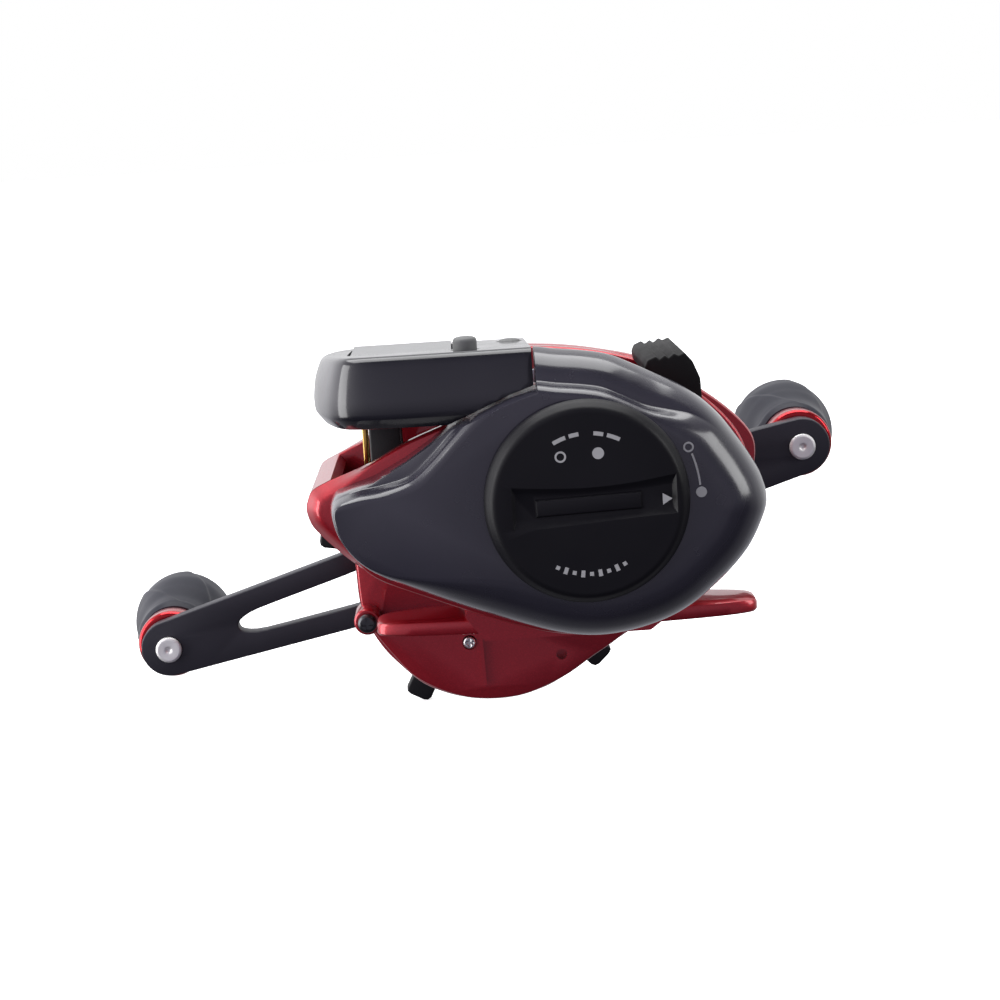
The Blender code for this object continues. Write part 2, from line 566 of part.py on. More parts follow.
# ================================================================ gear side cover
COVER = [(-3.3, 40.3), (2.3, 39.8), (8.5, 38.7), (14.7, 37.0), (20.5, 33.6), (26.4, 29.4), (30.6, 25.0),
         (31.6, 21.4), (30.4, 16.8), (26.8, 11.6), (22.4, 6.8), (18.2, 2.2), (14.4, -2.4), (10.8, -5.9),
         (7.0, -8.2), (3.4, -10.6), (0.2, -12.6), (-3.4, -14.4), (-7.2, -15.3), (-11.4, -15.6), (-15.6, -15.3),
         (-19.4, -14.2), (-22.8, -12.4), (-25.8, -9.6), (-28.6, -6.3), (-30.6, -2.6), (-31.8, 1.6),
         (-32.1, 8.0), (-33.0, 13.0), (-34.4, 17.6), (-35.2, 21.4), (-33.6, 24.6), (-29.0, 27.2),
         (-24.0, 29.6), (-18.0, 31.9), (-12.0, 34.2), (-7.5, 36.2), (-3.3, 37.7)]


def cover_ring(y, d):
    return [(x, y, z) for x, z in inset(COVER, d)]


cover = put("gear_side_cover", loft_bm([cover_ring(COVER_Y0, 0.3), cover_ring(15.6, 0.0), cover_ring(20.0, 0.5),
                                        cover_ring(23.4, 1.9), cover_ring(COVER_FACE, 4.2)]), RED)
inner = loft_bm([cover_ring(13.0, COVER_WALL), cover_ring(20.0, COVER_WALL + 0.4), cover_ring(23.2, 3.6)])
boolean(cover, put("cutter", inner, None))
# pillars for the three cover screws, bearing boss and the cast control neck
PILLARS = [(24.6, 21.4), (-12.0, 29.8), (11.2, -0.8)]
for p in PILLARS:
    boolean(cover, turned("cutter", rod_profile([(2.3, COVER_Y0 + 0.4), (2.3, 24.0)]), p, None), "UNION")
    boolean(cover, turned("cutter", rod_profile([(1.1, 10.0), (1.1, 24.2), (2.0, 24.2), (2.0, 28.0)]), p, None))
boolean(cover, turned("cutter", rod_profile([(9.6, 22.4), (9.6, 26.6), (8.8, 27.3)]), DRIVE_AXIS, None), "UNION")
boolean(cover, turned("cutter", rod_profile([(7.5, 20.0), (7.5, 26.7), (5.0, 26.7), (5.0, 28.0)]), DRIVE_AXIS, None))
boolean(cover, cylinder(5.1, 21.0, 28.0, SPOOL_AXIS))
boolean(cover, turned("cutter", ring_profile(4.2, 6.0, 22.7, 26.8), SPOOL_AXIS, None), "UNION")
for i, p in enumerate(PILLARS):
    s = turned("cover_screw_%d" % (i + 1), rod_profile([(0.8, 18.6), (0.8, 24.5), (1.7, 24.5), (1.7, 25.4), (1.3, 25.7)]),
               p, STEEL)
turned("handle_side_spool_bearing", ring_profile(1.65, 3.95, 23.9, 25.9), SPOOL_AXIS, STEEL)

cast = turned("cast_control_cap", [(6.35, 25.3), (7.6, 25.3), (7.8, 25.7), (7.8, 27.8), (7.2, 28.4), (0.0, 28.5),
                                   (0.0, 27.5), (6.35, 27.5)], SPOOL_AXIS, BLACK_METAL,
              origin=(SPOOL_AXIS[0], 27.0, SPOOL_AXIS[1]))

turned("lug_screw", rod_profile([(1.0, 7.0), (1.45, 7.3), (1.45, 8.1), (0.8, 8.1), (0.8, 13.3)]), (-30.4, -0.4), BLACK_METAL)
turned("bearing_plate_screw", rod_profile([(0.75, 11.3), (0.95, 11.45), (0.95, 12.1), (0.7, 12.1), (0.7, 13.3)]), (-14.9, -5.5), STEEL)

# ================================================================ level wind
# worm with crossing left- and right-hand grooves, sunk as sampled hollows
worm_r, groove_d, turns = 2.35, 0.55, 2.5
rows, n = [], 12
y0, y1 = -9.8, 9.8
ends = [(-13.6, 1.2), (-11.4, 1.2), (-11.2, worm_r), (-10.4, worm_r)]
for y, r in ends:
    rows.append([(WORM_AXIS[0] + r * math.cos(2 * math.pi * k / n), y, WORM_AXIS[1] + r * math.sin(2 * math.pi * k / n)) for k in range(n)])
steps = 20
for s in range(steps + 1):
    y = y0 + (y1 - y0) * s / steps
    row = []
    for k in range(n):
        t = 2 * math.pi * k / n
        dip = 0.0
        for hand in (1, -1):
            ph = (t * hand - 2 * math.pi * turns * (y - y0) / (y1 - y0)) % (2 * math.pi)
            ph = min(ph, 2 * math.pi - ph)
            dip = max(dip, 1.0 - ph / 0.75)
        r = worm_r - groove_d * max(0.0, dip)
        row.append((WORM_AXIS[0] + r * math.cos(t), y, WORM_AXIS[1] + r * math.sin(t)))
    rows.append(row)
for y, r in ((10.4, worm_r), (11.2, worm_r), (11.4, 1.2), (16.6, 1.2)):
    rows.append([(WORM_AXIS[0] + r * math.cos(2 * math.pi * k / n), y, WORM_AXIS[1] + r * math.sin(2 * math.pi * k / n)) for k in range(n)])
put("worm_shaft", loft_bm(rows), STEEL, origin=(WORM_AXIS[0], 0, WORM_AXIS[1]))
turned("guide_rail", rod_profile([(0.95, -13.0), (0.95, 12.9)]), RAIL_AXIS, STEEL)

wx, wz = WORM_AXIS
rx, rz = RAIL_AXIS
carriage = [(-22.9, 32.4), (-27.5, 32.4), (-27.5, 24.4), (-29.3, 22.8), (-31.6, 22.7), (-32.5, 21.4), (-32.5, 19.9),
            (-31.4, 18.7), (-29.0, 18.3), (-28.9, 16.6), (-27.6, 15.1), (-26.0, 14.3), (-23.0, 14.3), (-21.2, 15.3),
            (-20.0, 17.2), (-19.8, 19.6), (-20.6, 21.8), (-22.6, 23.6)]
guide = prism("line_guide", carriage, -3.4, 3.4, BLACK_SATIN, origin=(wx, 0, wz))
boolean(guide, cylinder(2.75, -5, 5, WORM_AXIS))
boolean(guide, cylinder(1.25, -5, 5, RAIL_AXIS))
boolean(guide, tool_box(-33.0, -20.0, -1.7, 1.7, 25.4, 30.8))
boolean(guide, cylinder(1.7, 13.0, 17.5, (wx, 0.0), axis="Z"))
tidy(guide)
insert = put("line_guide_insert", box(-28.5, -27.8, -2.7, 2.7, 24.5, 31.7), BRASS)
boolean(insert, tool_box(-30.0, -26.0, -1.5, 1.5, 25.6, 30.6))
turned("pawl", rod_profile([(1.35, 14.6), (1.35, 15.7), (0.8, 16.3)]), (wx, 0.0), BRASS, axis="Z")
turned("pawl_cap", rod_profile([(2.0, 13.2), (2.3, 13.5), (2.3, 14.0)]), (wx, 0.0), STEEL, axis="Z")

# ================================================================ thumb bar
bar = [(12.6, 38.7), (13.0, 39.6), (14.2, 40.1), (14.7, 39.6), (15.5, 40.2), (16.0, 39.7), (16.8, 40.4), (17.4, 40.0),
       (18.3, 40.4), (19.4, 39.1), (20.4, 36.6), (20.5, 33.8), (19.7, 31.9), (18.3, 31.4), (16.6, 33.2), (14.4, 35.2), (12.8, 37.4)]
thumb = prism("thumb_bar", bar, -11.2, 11.2, BLACK_SATIN, origin=(16.5, 0, 36.0))
boolean(thumb, turned("cutter", rod_profile([(0.9, 9.0), (0.9, 14.2)]), (18.0, 32.4), None), "UNION")
tidy(thumb)

# ================================================================ counter housing
hood_plan = [(SEAM_X, -18.9), (-10.0, -19.2), (-18.0, -19.3), (-25.5, -18.9), (-29.3, -18.0), (-31.6, -16.0),
             (-33.2, -12.4), (-34.6, -7.0), (-35.2, -1.0), (-35.1, 5.0), (-34.0, 11.0), (-32.4, 14.6), (-29.8, 16.7),
             (-25.5, 17.7), (-18.0, 18.0), (-10.0, 17.9), (SEAM_X, 17.6)]


def hood_row(d, z, tilt=0.0):
    pts = inset(hood_plan, lambda i: 0.0 if hood_plan[i][0] == SEAM_X else d)
    out = []
    for (x, y), (px, py) in zip(pts, hood_plan):
        if px == SEAM_X:
            x, y = SEAM_X, py - math.copysign(d, py)
        out.append((x, y, z - tilt * (y + 17.0)))
    return out


hood = put("counter_housing", loft_bm([hood_row(1.3, 33.2), hood_row(0.2, 34.6), hood_row(0.0, 36.0), hood_row(0.5, 39.5),
                                       hood_row(1.3, 42.4, 0.055), hood_row(2.4, 43.2, 0.058)]), BLACK_GLOSS)
# underside rises over the spool and along the ridge of the palm plate
under = [(-15.8, 30.0), (-15.8, 33.2), (-11.3, 35.2), (-7.0, 37.0), (-3.0, 38.25), (-3.0, 30.0)]
boolean(hood, put("cutter", prism_bm(under, -30.0, 30.0), None))
boolean(hood, cylinder(SPOOL_R + 0.9, -13.0, 13.0, SPOOL_AXIS))
# electronics bay, opened from below, and the display well on top
boolean(hood, tool_box(-31.0, -14.5, -13.6, 13.2, 30.0, 40.2))
boolean(hood, tool_box(-28.6, -15.4, -8.4, 8.4, 39.0, 41.2))
boolean(hood, tool_box(-28.6 - 1.0, -15.4 + 1.0, -9.4, 9.4, 40.9, 50.0))
BUTTONS = {"mode_button": (-12.7, -12.0, 44.8, 3.0), "reset_button": (-6.0, 6.0, 42.3, 2.2)}
for (bx, by, bz, deep) in BUTTONS.values():
    boolean(hood, cylinder(2.05, bz - deep - 1.2, bz + 4.0, (bx, by), axis="Z"))
tidy(hood)
prism_z("counter_base", [(-30.6, -13.2), (-14.9, -13.2), (-14.9, 12.8), (-30.6, 12.8)], 33.3, 34.3, BLACK_SATIN)
prism_z("circuit_board", [(-30.2, -12.6), (-15.3, -12.6), (-15.3, 12.2), (-30.2, 12.2)], 35.4, 36.4, GREEN)
prism_z("lcd_panel", [(-28.2, -8.0), (-15.8, -8.0), (-15.8, 8.0), (-28.2, 8.0)], 38.2, 40.5, LCD)
window = prism_z("display_window", [(-29.3, -9.1), (-14.7, -9.1), (-14.7, 9.1), (-29.3, 9.1)], 41.2, 42.2, GLASS)
for name, (bx, by, bz, deep) in BUTTONS.items():
    turned(name, rod_profile([(1.7, bz - deep), (1.7, bz - 0.5), (1.2, bz)]), (bx, by), GREY_RUBBER, axis="Z")

# ================================================================ star drag
dx, dz = DRIVE_AXIS
star_outline = []
for k in range(5):
    c = STAR_FIRST + k * 2 * math.pi / 5
    shape = [(8.2, -0.45), (12.0, -0.245), (STAR_TIP_R - 5.5, -0.098), (STAR_TIP_R - 4.0, -0.092), (STAR_TIP_R - 0.8, -0.082),
             (STAR_TIP_R, -0.045), (STAR_TIP_R, 0.045), (STAR_TIP_R - 0.8, 0.082), (STAR_TIP_R - 4.0, 0.092),
             (STAR_TIP_R - 5.5, 0.098), (12.0, 0.245), (8.2, 0.45)]
    star_outline += [(dx + r * math.cos(c + t), dz + r * math.sin(c + t)) for r, t in shape]
star = prism("star_drag", star_outline, 29.0, 31.2, BLACK_METAL, origin=(dx, 30.0, dz))
boolean(star, turned("cutter", rod_profile([(6.4, 28.7), (7.2, 29.2), (7.2, 31.6), (5.6, 33.4)]), DRIVE_AXIS, None), "UNION")
boolean(star, cylinder(2.85, 27.0, 35.0, DRIVE_AXIS))
tidy(star)

# ================================================================ handle
ux, uz = math.cos(HANDLE_ANGLE), math.sin(HANDLE_ANGLE)
HALF = HANDLE_SPAN / 2


def along(s, w):
    """Point on the handle: s along it from the hub (rear positive), w across."""
    return (dx + s * ux - w * uz, dz + s * uz + w * ux)


def half_width(s):
    return HANDLE_END_R + (HANDLE_HUB_W - HANDLE_END_R) * (1 - abs(s) / HALF)


edge = []
stations = [HALF * k / 8 for k in range(8, -9, -1)]
for s in stations:
    edge.append((s, half_width(s)))
for k in range(1, 8):
    t = math.pi / 2 + math.pi * k / 8
    edge.append((-HALF + HANDLE_END_R * math.cos(t), HANDLE_END_R * math.sin(t)))
for s in reversed(stations):
    edge.append((s, -half_width(s)))
for k in range(1, 8):
    t = -math.pi / 2 + math.pi * k / 8
    edge.append((HALF + HANDLE_END_R * math.cos(t), HANDLE_END_R * math.sin(t)))
handle = prism("handle", [along(s, w) for s, w in edge], 0.0, HANDLE_T, BLACK_METAL, origin=(dx, 0, dz))
for side in (-1, 1):
    win = []
    for s, k in ((HALF - 12.2, 0.1), (HALF - 13.2, 0.55), (HALF - 15.0, 0.9), (HALF - 20, 1.0), (HALF - 25, 1.0), (HALF - 31, 1.0),
                 (HALF - 37, 1.0), (HALF - 40.5, 0.8), (HALF - 41.5, 0.3)):
        win.append((side * s, k * (half_width(s) - 3.55)))
    win += [(s, -w) for s, w in reversed(win)]
    boolean(handle, put("cutter", prism_bm([along(s, w) for s, w in win], -2.0, HANDLE_T + 2.0), None))
boolean(handle, cylinder(2.65, -2, 6, DRIVE_AXIS))
for side in (-1, 1):
    boolean(handle, cylinder(1.35, -2, 6, along(side * HALF, 0.0)))
tidy(handle)
# the arms step in towards the reel between the hub and the knobs
for v in handle.data.vertices:
    x, z = v.co.x / MM, v.co.z / MM
    s = abs(x * ux + z * uz)
    t = min(1.0, max(0.0, (s - 9.0) / 16.0))
    t = t * t * (3 - 2 * t)
    v.co.y += (HANDLE_HUB_Y + (HANDLE_END_Y - HANDLE_HUB_Y) * t) * MM
bm = bmesh.new()
bm.from_mesh(handle.data)
bmesh.ops.triangulate(bm, faces=bm.faces)
bm.to_mesh(handle.data)
bm.free()

hub_out = HANDLE_HUB_Y + HANDLE_T
nut = put("handle_nut", prism_bm([(dx + 5.2 * math.cos(math.pi * k / 3), dz + 5.2 * math.sin(math.pi * k / 3)) for k in range(6)],
                                 hub_out + 0.3, hub_out + 3.4), STEEL, (dx, hub_out + 2, dz))
boolean(nut, cylinder(2.65, 30, 50, DRIVE_AXIS))
ret_c, ret_s = along(0.0, 0.0), along(11.5, 0.0)
retainer = put("nut_retainer", prism_bm([along(-6.6, 3.2), along(-3.4, 6.4), along(3.4, 6.4), along(7.0, 4.4), along(13.2, 3.0), along(14.6, 0.0),
                                         along(13.2, -3.0), along(7.0, -4.4), along(3.4, -6.4), along(-3.4, -6.4), along(-6.6, -3.2)],
                                        hub_out + 0.3, hub_out + 4.6), BLACK_METAL, (dx, hub_out + 2, dz))
boolean(retainer, cylinder(5.6, 30, hub_out + 3.7, DRIVE_AXIS))
boolean(retainer, cylinder(3.0, 30, hub_out + 8, DRIVE_AXIS))
boolean(retainer, cylinder(1.1, 30, 50, ret_s))
boolean(retainer, cylinder(2.0, hub_out + 3.4, 50, ret_s))
tidy(retainer)
turned("retainer_screw", rod_profile([(0.8, hub_out + 0.5), (0.8, hub_out + 3.7), (1.7, hub_out + 3.7), (1.7, hub_out + 4.4), (1.2, hub_out + 4.8)]),
       ret_s, STEEL)

# knobs, their red collars and the riveted axles they turn on
for name, side in (("front", -1), ("rear", 1)):
    c = along(side * HALF, 0.0)
    far = HANDLE_END_Y + HANDLE_T
    turned("knob_axle_" + name, rod_profile([(1.6, HANDLE_END_Y - 0.9), (2.15, HANDLE_END_Y - 0.6), (2.15, HANDLE_END_Y - 0.3),
                                             (1.2, HANDLE_END_Y - 0.3), (1.2, far + 0.4), (1.2, far + 20.0)]), c, STEEL)
    turned("knob_collar_" + name, [(1.45, far + 0.3), (5.2, far + 0.3), (5.6, far + 0.8), (5.6, far + 3.8), (5.1, far + 4.5), (1.45, far + 4.5)],
           c, RED_ANOD)
    k0 = far + 4.8
    turned("knob_" + name, [(1.45, k0), (5.6, k0), (6.3, k0 + 1.2), (6.7, k0 + 4.0), (7.7, k0 + 7.5), (8.5, k0 + 11.5), (8.5, k0 + 14.0),
                            (7.8, k0 + 17.0), (6.0, k0 + 19.2), (3.4, k0 + 20.3), (0.0, k0 + 20.6), (0.0, k0 + 16.2), (1.45, k0 + 16.2)],
           c, BLACK_SATIN)

for ob in bpy.data.objects:
    if ob.type == "MESH":
        ob.data.shade_smooth()
        ob.data.set_sharp_from_angle(angle=math.radians(32))
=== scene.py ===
"""Looks of the low-profile baitcasting reel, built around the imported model."""
import json
import math

import bmesh
import bpy
from mathutils import Matrix, Vector

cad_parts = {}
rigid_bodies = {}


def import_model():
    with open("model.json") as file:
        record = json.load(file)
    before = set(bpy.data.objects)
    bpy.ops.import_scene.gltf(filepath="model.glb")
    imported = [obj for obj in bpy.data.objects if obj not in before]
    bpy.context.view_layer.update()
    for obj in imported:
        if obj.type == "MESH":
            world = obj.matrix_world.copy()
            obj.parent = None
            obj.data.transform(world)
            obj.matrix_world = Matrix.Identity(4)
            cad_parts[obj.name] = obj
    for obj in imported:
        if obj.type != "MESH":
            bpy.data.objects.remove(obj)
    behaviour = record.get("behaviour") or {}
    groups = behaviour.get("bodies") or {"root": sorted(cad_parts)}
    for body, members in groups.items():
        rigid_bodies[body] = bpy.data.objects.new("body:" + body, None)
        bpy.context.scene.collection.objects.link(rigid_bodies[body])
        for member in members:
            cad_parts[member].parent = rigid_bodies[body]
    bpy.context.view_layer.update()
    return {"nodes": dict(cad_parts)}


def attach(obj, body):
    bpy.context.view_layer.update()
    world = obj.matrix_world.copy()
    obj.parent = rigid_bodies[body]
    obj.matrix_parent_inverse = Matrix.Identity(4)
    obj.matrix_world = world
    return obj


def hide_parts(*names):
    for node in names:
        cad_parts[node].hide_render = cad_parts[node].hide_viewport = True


for ob in list(bpy.data.objects):
    bpy.data.objects.remove(ob, do_unlink=True)

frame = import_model()
MM = 0.001
scene = bpy.context.scene

# the same reference axes as the model, (x, z) in millimetres
SPOOL = (1.9, 21.9)
DRIVE = (-11.6, 5.2)
WORM = (-24.5, 19.0)
DIAL = (2.5, 22.7)
PILLARS = [(24.6, 21.4), (-12.0, 29.8), (11.2, -0.8)]


# ============================================================ materials
def new_mat(name):
    m = bpy.data.materials.new(name)
    m.use_nodes = True
    nt = m.node_tree
    return m, nt, nt.nodes["Principled BSDF"]


def obj_coord(nt, scale=1.0):
    tc = nt.nodes.new("ShaderNodeTexCoord")
    mp = nt.nodes.new("ShaderNodeMapping")
    mp.inputs["Scale"].default_value = (scale, scale, scale) if not isinstance(scale, tuple) else scale
    nt.links.new(tc.outputs["Object"], mp.inputs["Vector"])
    return mp.outputs["Vector"]


def noise(nt, vec, scale, detail=3.0, rough=0.5):
    n = nt.nodes.new("ShaderNodeTexNoise")
    n.inputs["Scale"].default_value = scale
    n.inputs["Detail"].default_value = detail
    n.inputs["Roughness"].default_value = rough
    nt.links.new(vec, n.inputs["Vector"])
    return n.outputs["Fac"]


def ramp(nt, fac, stops):
    r = nt.nodes.new("ShaderNodeValToRGB")
    el = r.color_ramp.elements
    while len(el) < len(stops):
        el.new(0.5)
    for e, (p, c) in zip(el, stops):
        e.position = p
        e.color = (*c, 1.0) if len(c) == 3 else c
    nt.links.new(fac, r.inputs["Fac"])
    return r.outputs["Color"]


def maprange(nt, fac, a, b, c, d):
    r = nt.nodes.new("ShaderNodeMapRange")
    for k, v in zip(("From Min", "From Max", "To Min", "To Max"), (a, b, c, d)):
        r.inputs[k].default_value = v
    nt.links.new(fac, r.inputs["Value"])
    return r.outputs["Result"]


def bump(nt, bsdf, fac, strength, dist):
    b = nt.nodes.new("ShaderNodeBump")
    b.inputs["Strength"].default_value = strength
    b.inputs["Distance"].default_value = dist
    nt.links.new(fac, b.inputs["Height"])
    nt.links.new(b.outputs["Normal"], bsdf.inputs["Normal"])
    return b


def edge_mask(nt, power=1.0):
    """Brighter on convex edges, for polish and wear."""
    g = nt.nodes.new("ShaderNodeNewGeometry")
    return g.outputs["Pointiness"]


def plastic(name, colour, rough, coat=0.0, coat_rough=0.1, grain=900.0, grain_depth=0.00001, spec=0.5, var=0.25, rough_var=0.05):
    m, nt, b = new_mat(name)
    vec = obj_coord(nt)
    n1 = noise(nt, vec, 60.0, 3.0)
    lo = tuple(c * (1 - var) for c in colour)
    hi = tuple(min(1.0, c * (1 + var)) for c in colour)
    nt.links.new(ramp(nt, n1, [(0.3, lo), (0.7, hi)]), b.inputs["Base Color"])
    n2 = noise(nt, vec, 220.0, 4.0)
    nt.links.new(maprange(nt, n2, 0.3, 0.7, rough - rough_var, rough + rough_var), b.inputs["Roughness"])
    b.inputs["Specular IOR Level"].default_value = spec
    b.inputs["Coat Weight"].default_value = coat
    b.inputs["Coat Roughness"].default_value = coat_rough
    bump(nt, b, noise(nt, vec, grain, 2.0), 0.25, grain_depth)
    return m


def metal(name, colour, rough, aniso=0.0, grain=(300.0, 4000.0, 300.0), depth=0.000004, metallic=1.0, rough_var=0.05, coat=0.0):
    m, nt, b = new_mat(name)
    vec = obj_coord(nt)
    n1 = noise(nt, vec, 90.0, 3.0)
    lo = tuple(c * 0.88 for c in colour)
    hi = tuple(min(1.0, c * 1.1) for c in colour)
    nt.links.new(ramp(nt, n1, [(0.3, lo), (0.7, hi)]), b.inputs["Base Color"])
    vg = obj_coord(nt, grain)
    n2 = noise(nt, vg, 1.0, 3.0)
    nt.links.new(maprange(nt, n2, 0.3, 0.7, rough - rough_var, rough + rough_var), b.inputs["Roughness"])
    b.inputs["Metallic"].default_value = metallic
    b.inputs["Anisotropic"].default_value = aniso
    b.inputs["Coat Weight"].default_value = coat
    b.inputs["Coat Roughness"].default_value = 0.06
    bump(nt, b, n2, 0.2, depth)
    return m


def candy_red(name):
    """Red metallic paint: dark tinted base with fine flake under a clear coat."""
    m, nt, b = new_mat(name)
    vec = obj_coord(nt)
    big = noise(nt, vec, 45.0, 2.0)
    vor = nt.nodes.new("ShaderNodeTexVoronoi")
    vor.inputs["Scale"].default_value = 6500.0
    nt.links.new(vec, vor.inputs["Vector"])
    sep = nt.nodes.new("ShaderNodeSeparateColor")
    nt.links.new(vor.outputs["Color"], sep.inputs["Color"])
    flake = sep.outputs["Red"]
    base = ramp(nt, big, [(0.3, (0.36, 0.006, 0.016)), (0.7, (0.42, 0.008, 0.020))])
    fl = ramp(nt, flake, [(0.0, (0.30, 0.004, 0.012)), (0.72, (0.40, 0.008, 0.018)), (1.0, (0.50, 0.016, 0.03))])
    mix = nt.nodes.new("ShaderNodeMix")
    mix.data_type = "RGBA"
    mix.inputs["Factor"].default_value = 0.4
    nt.links.new(base, mix.inputs["A"])
    nt.links.new(fl, mix.inputs["B"])
    nt.links.new(mix.outputs["Result"], b.inputs["Base Color"])
    nt.links.new(maprange(nt, flake, 0.0, 1.0, 0.30, 0.38), b.inputs["Roughness"])
    b.inputs["Metallic"].default_value = 0.55
    b.inputs["Coat Weight"].default_value = 0.8
    b.inputs["Coat Roughness"].default_value = 0.035
    b.inputs["Coat IOR"].default_value = 1.5
    bump(nt, b, noise(nt, vec, 500.0, 2.0), 0.12, 0.00001)
    return m


M = {}
M["red"] = candy_red("candy_red_paint")
M["gloss"] = plastic("gloss_black", (0.0075, 0.0070, 0.0115), 0.20, coat=0.55, coat_rough=0.05, grain=700, grain_depth=0.000006, var=0.15)
M["plate"] = plastic("plate_black", (0.0230, 0.0215, 0.0320), 0.24, coat=0.7, coat_rough=0.12, grain=900, grain_depth=0.000008, var=0.15)
M["dial"] = plastic("dial_black", (0.0058, 0.0055, 0.0075), 0.42, grain=1800, grain_depth=0.00002, var=0.2, spec=0.22)
M["satin"] = plastic("satin_black", (0.010, 0.0095, 0.010), 0.45, grain=2600, grain_depth=0.00003, var=0.2)
M["matte"] = plastic("matte_black", (0.006, 0.0056, 0.006), 0.6, grain=3200, grain_depth=0.00004, var=0.2, spec=0.16)
M["knob"] = plastic("knob_grey_black", (0.022, 0.023, 0.032), 0.40, coat=0.0, coat_rough=0.22, grain=2400, grain_depth=0.00002, var=0.12, spec=0.17)
M["handle"] = metal("handle_black", (0.026, 0.025, 0.034), 0.42, metallic=0.3, grain=(2600.0, 2600.0, 2600.0), depth=0.00001)
M["star"] = metal("star_black", (0.014, 0.014, 0.015), 0.36, metallic=0.5, grain=(1800.0, 1800.0, 1800.0))
M["anod"] = metal("red_anodised", (0.42, 0.006, 0.012), 0.22, grain=(200.0, 6000.0, 200.0), metallic=0.95, coat=0.5)
M["steel"] = metal("steel", (0.66, 0.655, 0.65), 0.34, grain=(900.0, 900.0, 900.0))
M["rivet"] = metal("brushed_rivet", (0.86, 0.85, 0.84), 0.58, grain=(1500.0, 400.0, 1500.0), depth=0.00001, rough_var=0.08)
M["dark_steel"] = metal("dark_steel", (0.10, 0.10, 0.105), 0.34, grain=(900.0, 900.0, 900.0))
M["alloy"] = metal("spool_alloy", (0.50, 0.51, 0.54), 0.24, grain=(200.0, 5000.0, 200.0), aniso=0.4)
M["brass"] = metal("brass", (0.66, 0.42, 0.12), 0.22, grain=(900.0, 900.0, 900.0))
M["rubber_grey"] = plastic("rubber_grey", (0.135, 0.138, 0.136), 0.62, grain=3000, grain_depth=0.00004, var=0.12)
M["rubber"] = plastic("rubber_black", (0.02, 0.02, 0.02), 0.75, grain=3000, grain_depth=0.00004)
M["nylon"] = plastic("nylon", (0.70, 0.68, 0.62), 0.45, grain=1500, var=0.06)
M["carbon"] = plastic("carbon_disc", (0.03, 0.03, 0.032), 0.5, grain=4000, grain_depth=0.00005)
M["board"] = plastic("board_green", (0.008, 0.085, 0.028), 0.35, grain=1500, var=0.2)
M["lcd"] = plastic("lcd_grey", (0.30, 0.335, 0.285), 0.28, grain=2000, grain_depth=0.000004, var=0.05)
M["mark"] = plastic("printed_grey", (0.46, 0.46, 0.46), 0.5, grain=4000, grain_depth=0.000004, var=0.06)
M["segment"] = plastic("lcd_segment", (0.03, 0.035, 0.03), 0.4, grain=2000, grain_depth=0.000004, var=0.06)


def glass(name):
    m, nt, b = new_mat(name)
    vec = obj_coord(nt)
    nt.links.new(ramp(nt, noise(nt, vec, 50.0), [(0.3, (0.30, 0.31, 0.33)), (0.7, (0.34, 0.35, 0.37))]), b.inputs["Base Color"])
    b.inputs["Roughness"].default_value = 0.03
    b.inputs["Transmission Weight"].default_value = 1.0
    b.inputs["IOR"].default_value = 1.45
    return m


M["window"] = glass("window_smoked")


# ============================================================ mesh helpers
def link(name, bm, mat, body, node=None, slot=None, sharp=32, smooth=True):
    bmesh.ops.recalc_face_normals(bm, faces=bm.faces)
    for v in bm.verts:
        v.co = v.co * MM
    me = bpy.data.meshes.new(name)
    bm.to_mesh(me)
    bm.free()
    ob = bpy.data.objects.new(name, me)
    scene.collection.objects.link(ob)
    if mat is not None:
        me.materials.append(mat)
    if smooth:
        me.shade_smooth()
        me.set_sharp_from_angle(angle=math.radians(sharp))
    ob["_body"] = body or ""
    ob["_node"] = node or ""
    ob["_slot"] = slot or ""
    return ob


def settle(ob):
    """Ride and replace once the piece's mesh is final; the stored slot name is dropped."""
    body, node, slot = ob["_body"], ob["_node"], ob["_slot"]
    del ob["_body"], ob["_node"], ob["_slot"]
    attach(ob, body)
    if node:
        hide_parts(*node.split(","))
    return ob


def resmooth(ob, sharp=32):
    ob.data.shade_smooth()
    ob.data.set_sharp_from_angle(angle=math.radians(sharp))


def apply_mods(ob):
    bpy.context.view_layer.update()
    dg = bpy.context.evaluated_depsgraph_get()
    me = bpy.data.meshes.new_from_object(ob.evaluated_get(dg))
    old = ob.data
    ob.modifiers.clear()
    ob.data = me
    bpy.data.meshes.remove(old)
    return ob


def bevel(ob, width, segments=2, angle=35, apply=True):
    m = ob.modifiers.new("bevel", "BEVEL")
    m.width = width * MM
    m.segments = segments
    m.limit_method = "ANGLE"
    m.angle_limit = math.radians(angle)
    m.use_clamp_overlap = True
    return apply_mods(ob) if apply else ob


def boolean(ob, tool, mode="DIFFERENCE"):
    """Exact Boolean; the tool's faces take the body's first material."""
    if tool.data.materials:
        tool.data.materials.clear()
    m = ob.modifiers.new("bool", "BOOLEAN")
    m.object = tool
    m.operation = mode
    m.solver = "EXACT"
    mats = list(ob.data.materials)
    apply_mods(ob)
    ob.data.materials.clear()
    for k in mats:
        ob.data.materials.append(k)
    for p in ob.data.polygons:
        p.material_index = 0
    bpy.data.objects.remove(tool, do_unlink=True)
    return ob


def prism_bm(outline, y0, y1, holes=()):
    bm = bmesh.new()
    a = [bm.verts.new((x, y0, z)) for x, z in outline]
    b = [bm.verts.new((x, y1, z)) for x, z in outline]
    n = len(outline)
    bm.faces.new(a)
    bm.faces.new(list(reversed(b)))
    for i in range(n):
        j = (i + 1) % n
        bm.faces.new((a[i], b[i], b[j], a[j]))
    return bm


def prism(name, outline, y0, y1, mat=None, body=None, node=None, slot=None, sharp=32):
    return link(name, prism_bm(outline, y0, y1), mat, body, node, slot, sharp)


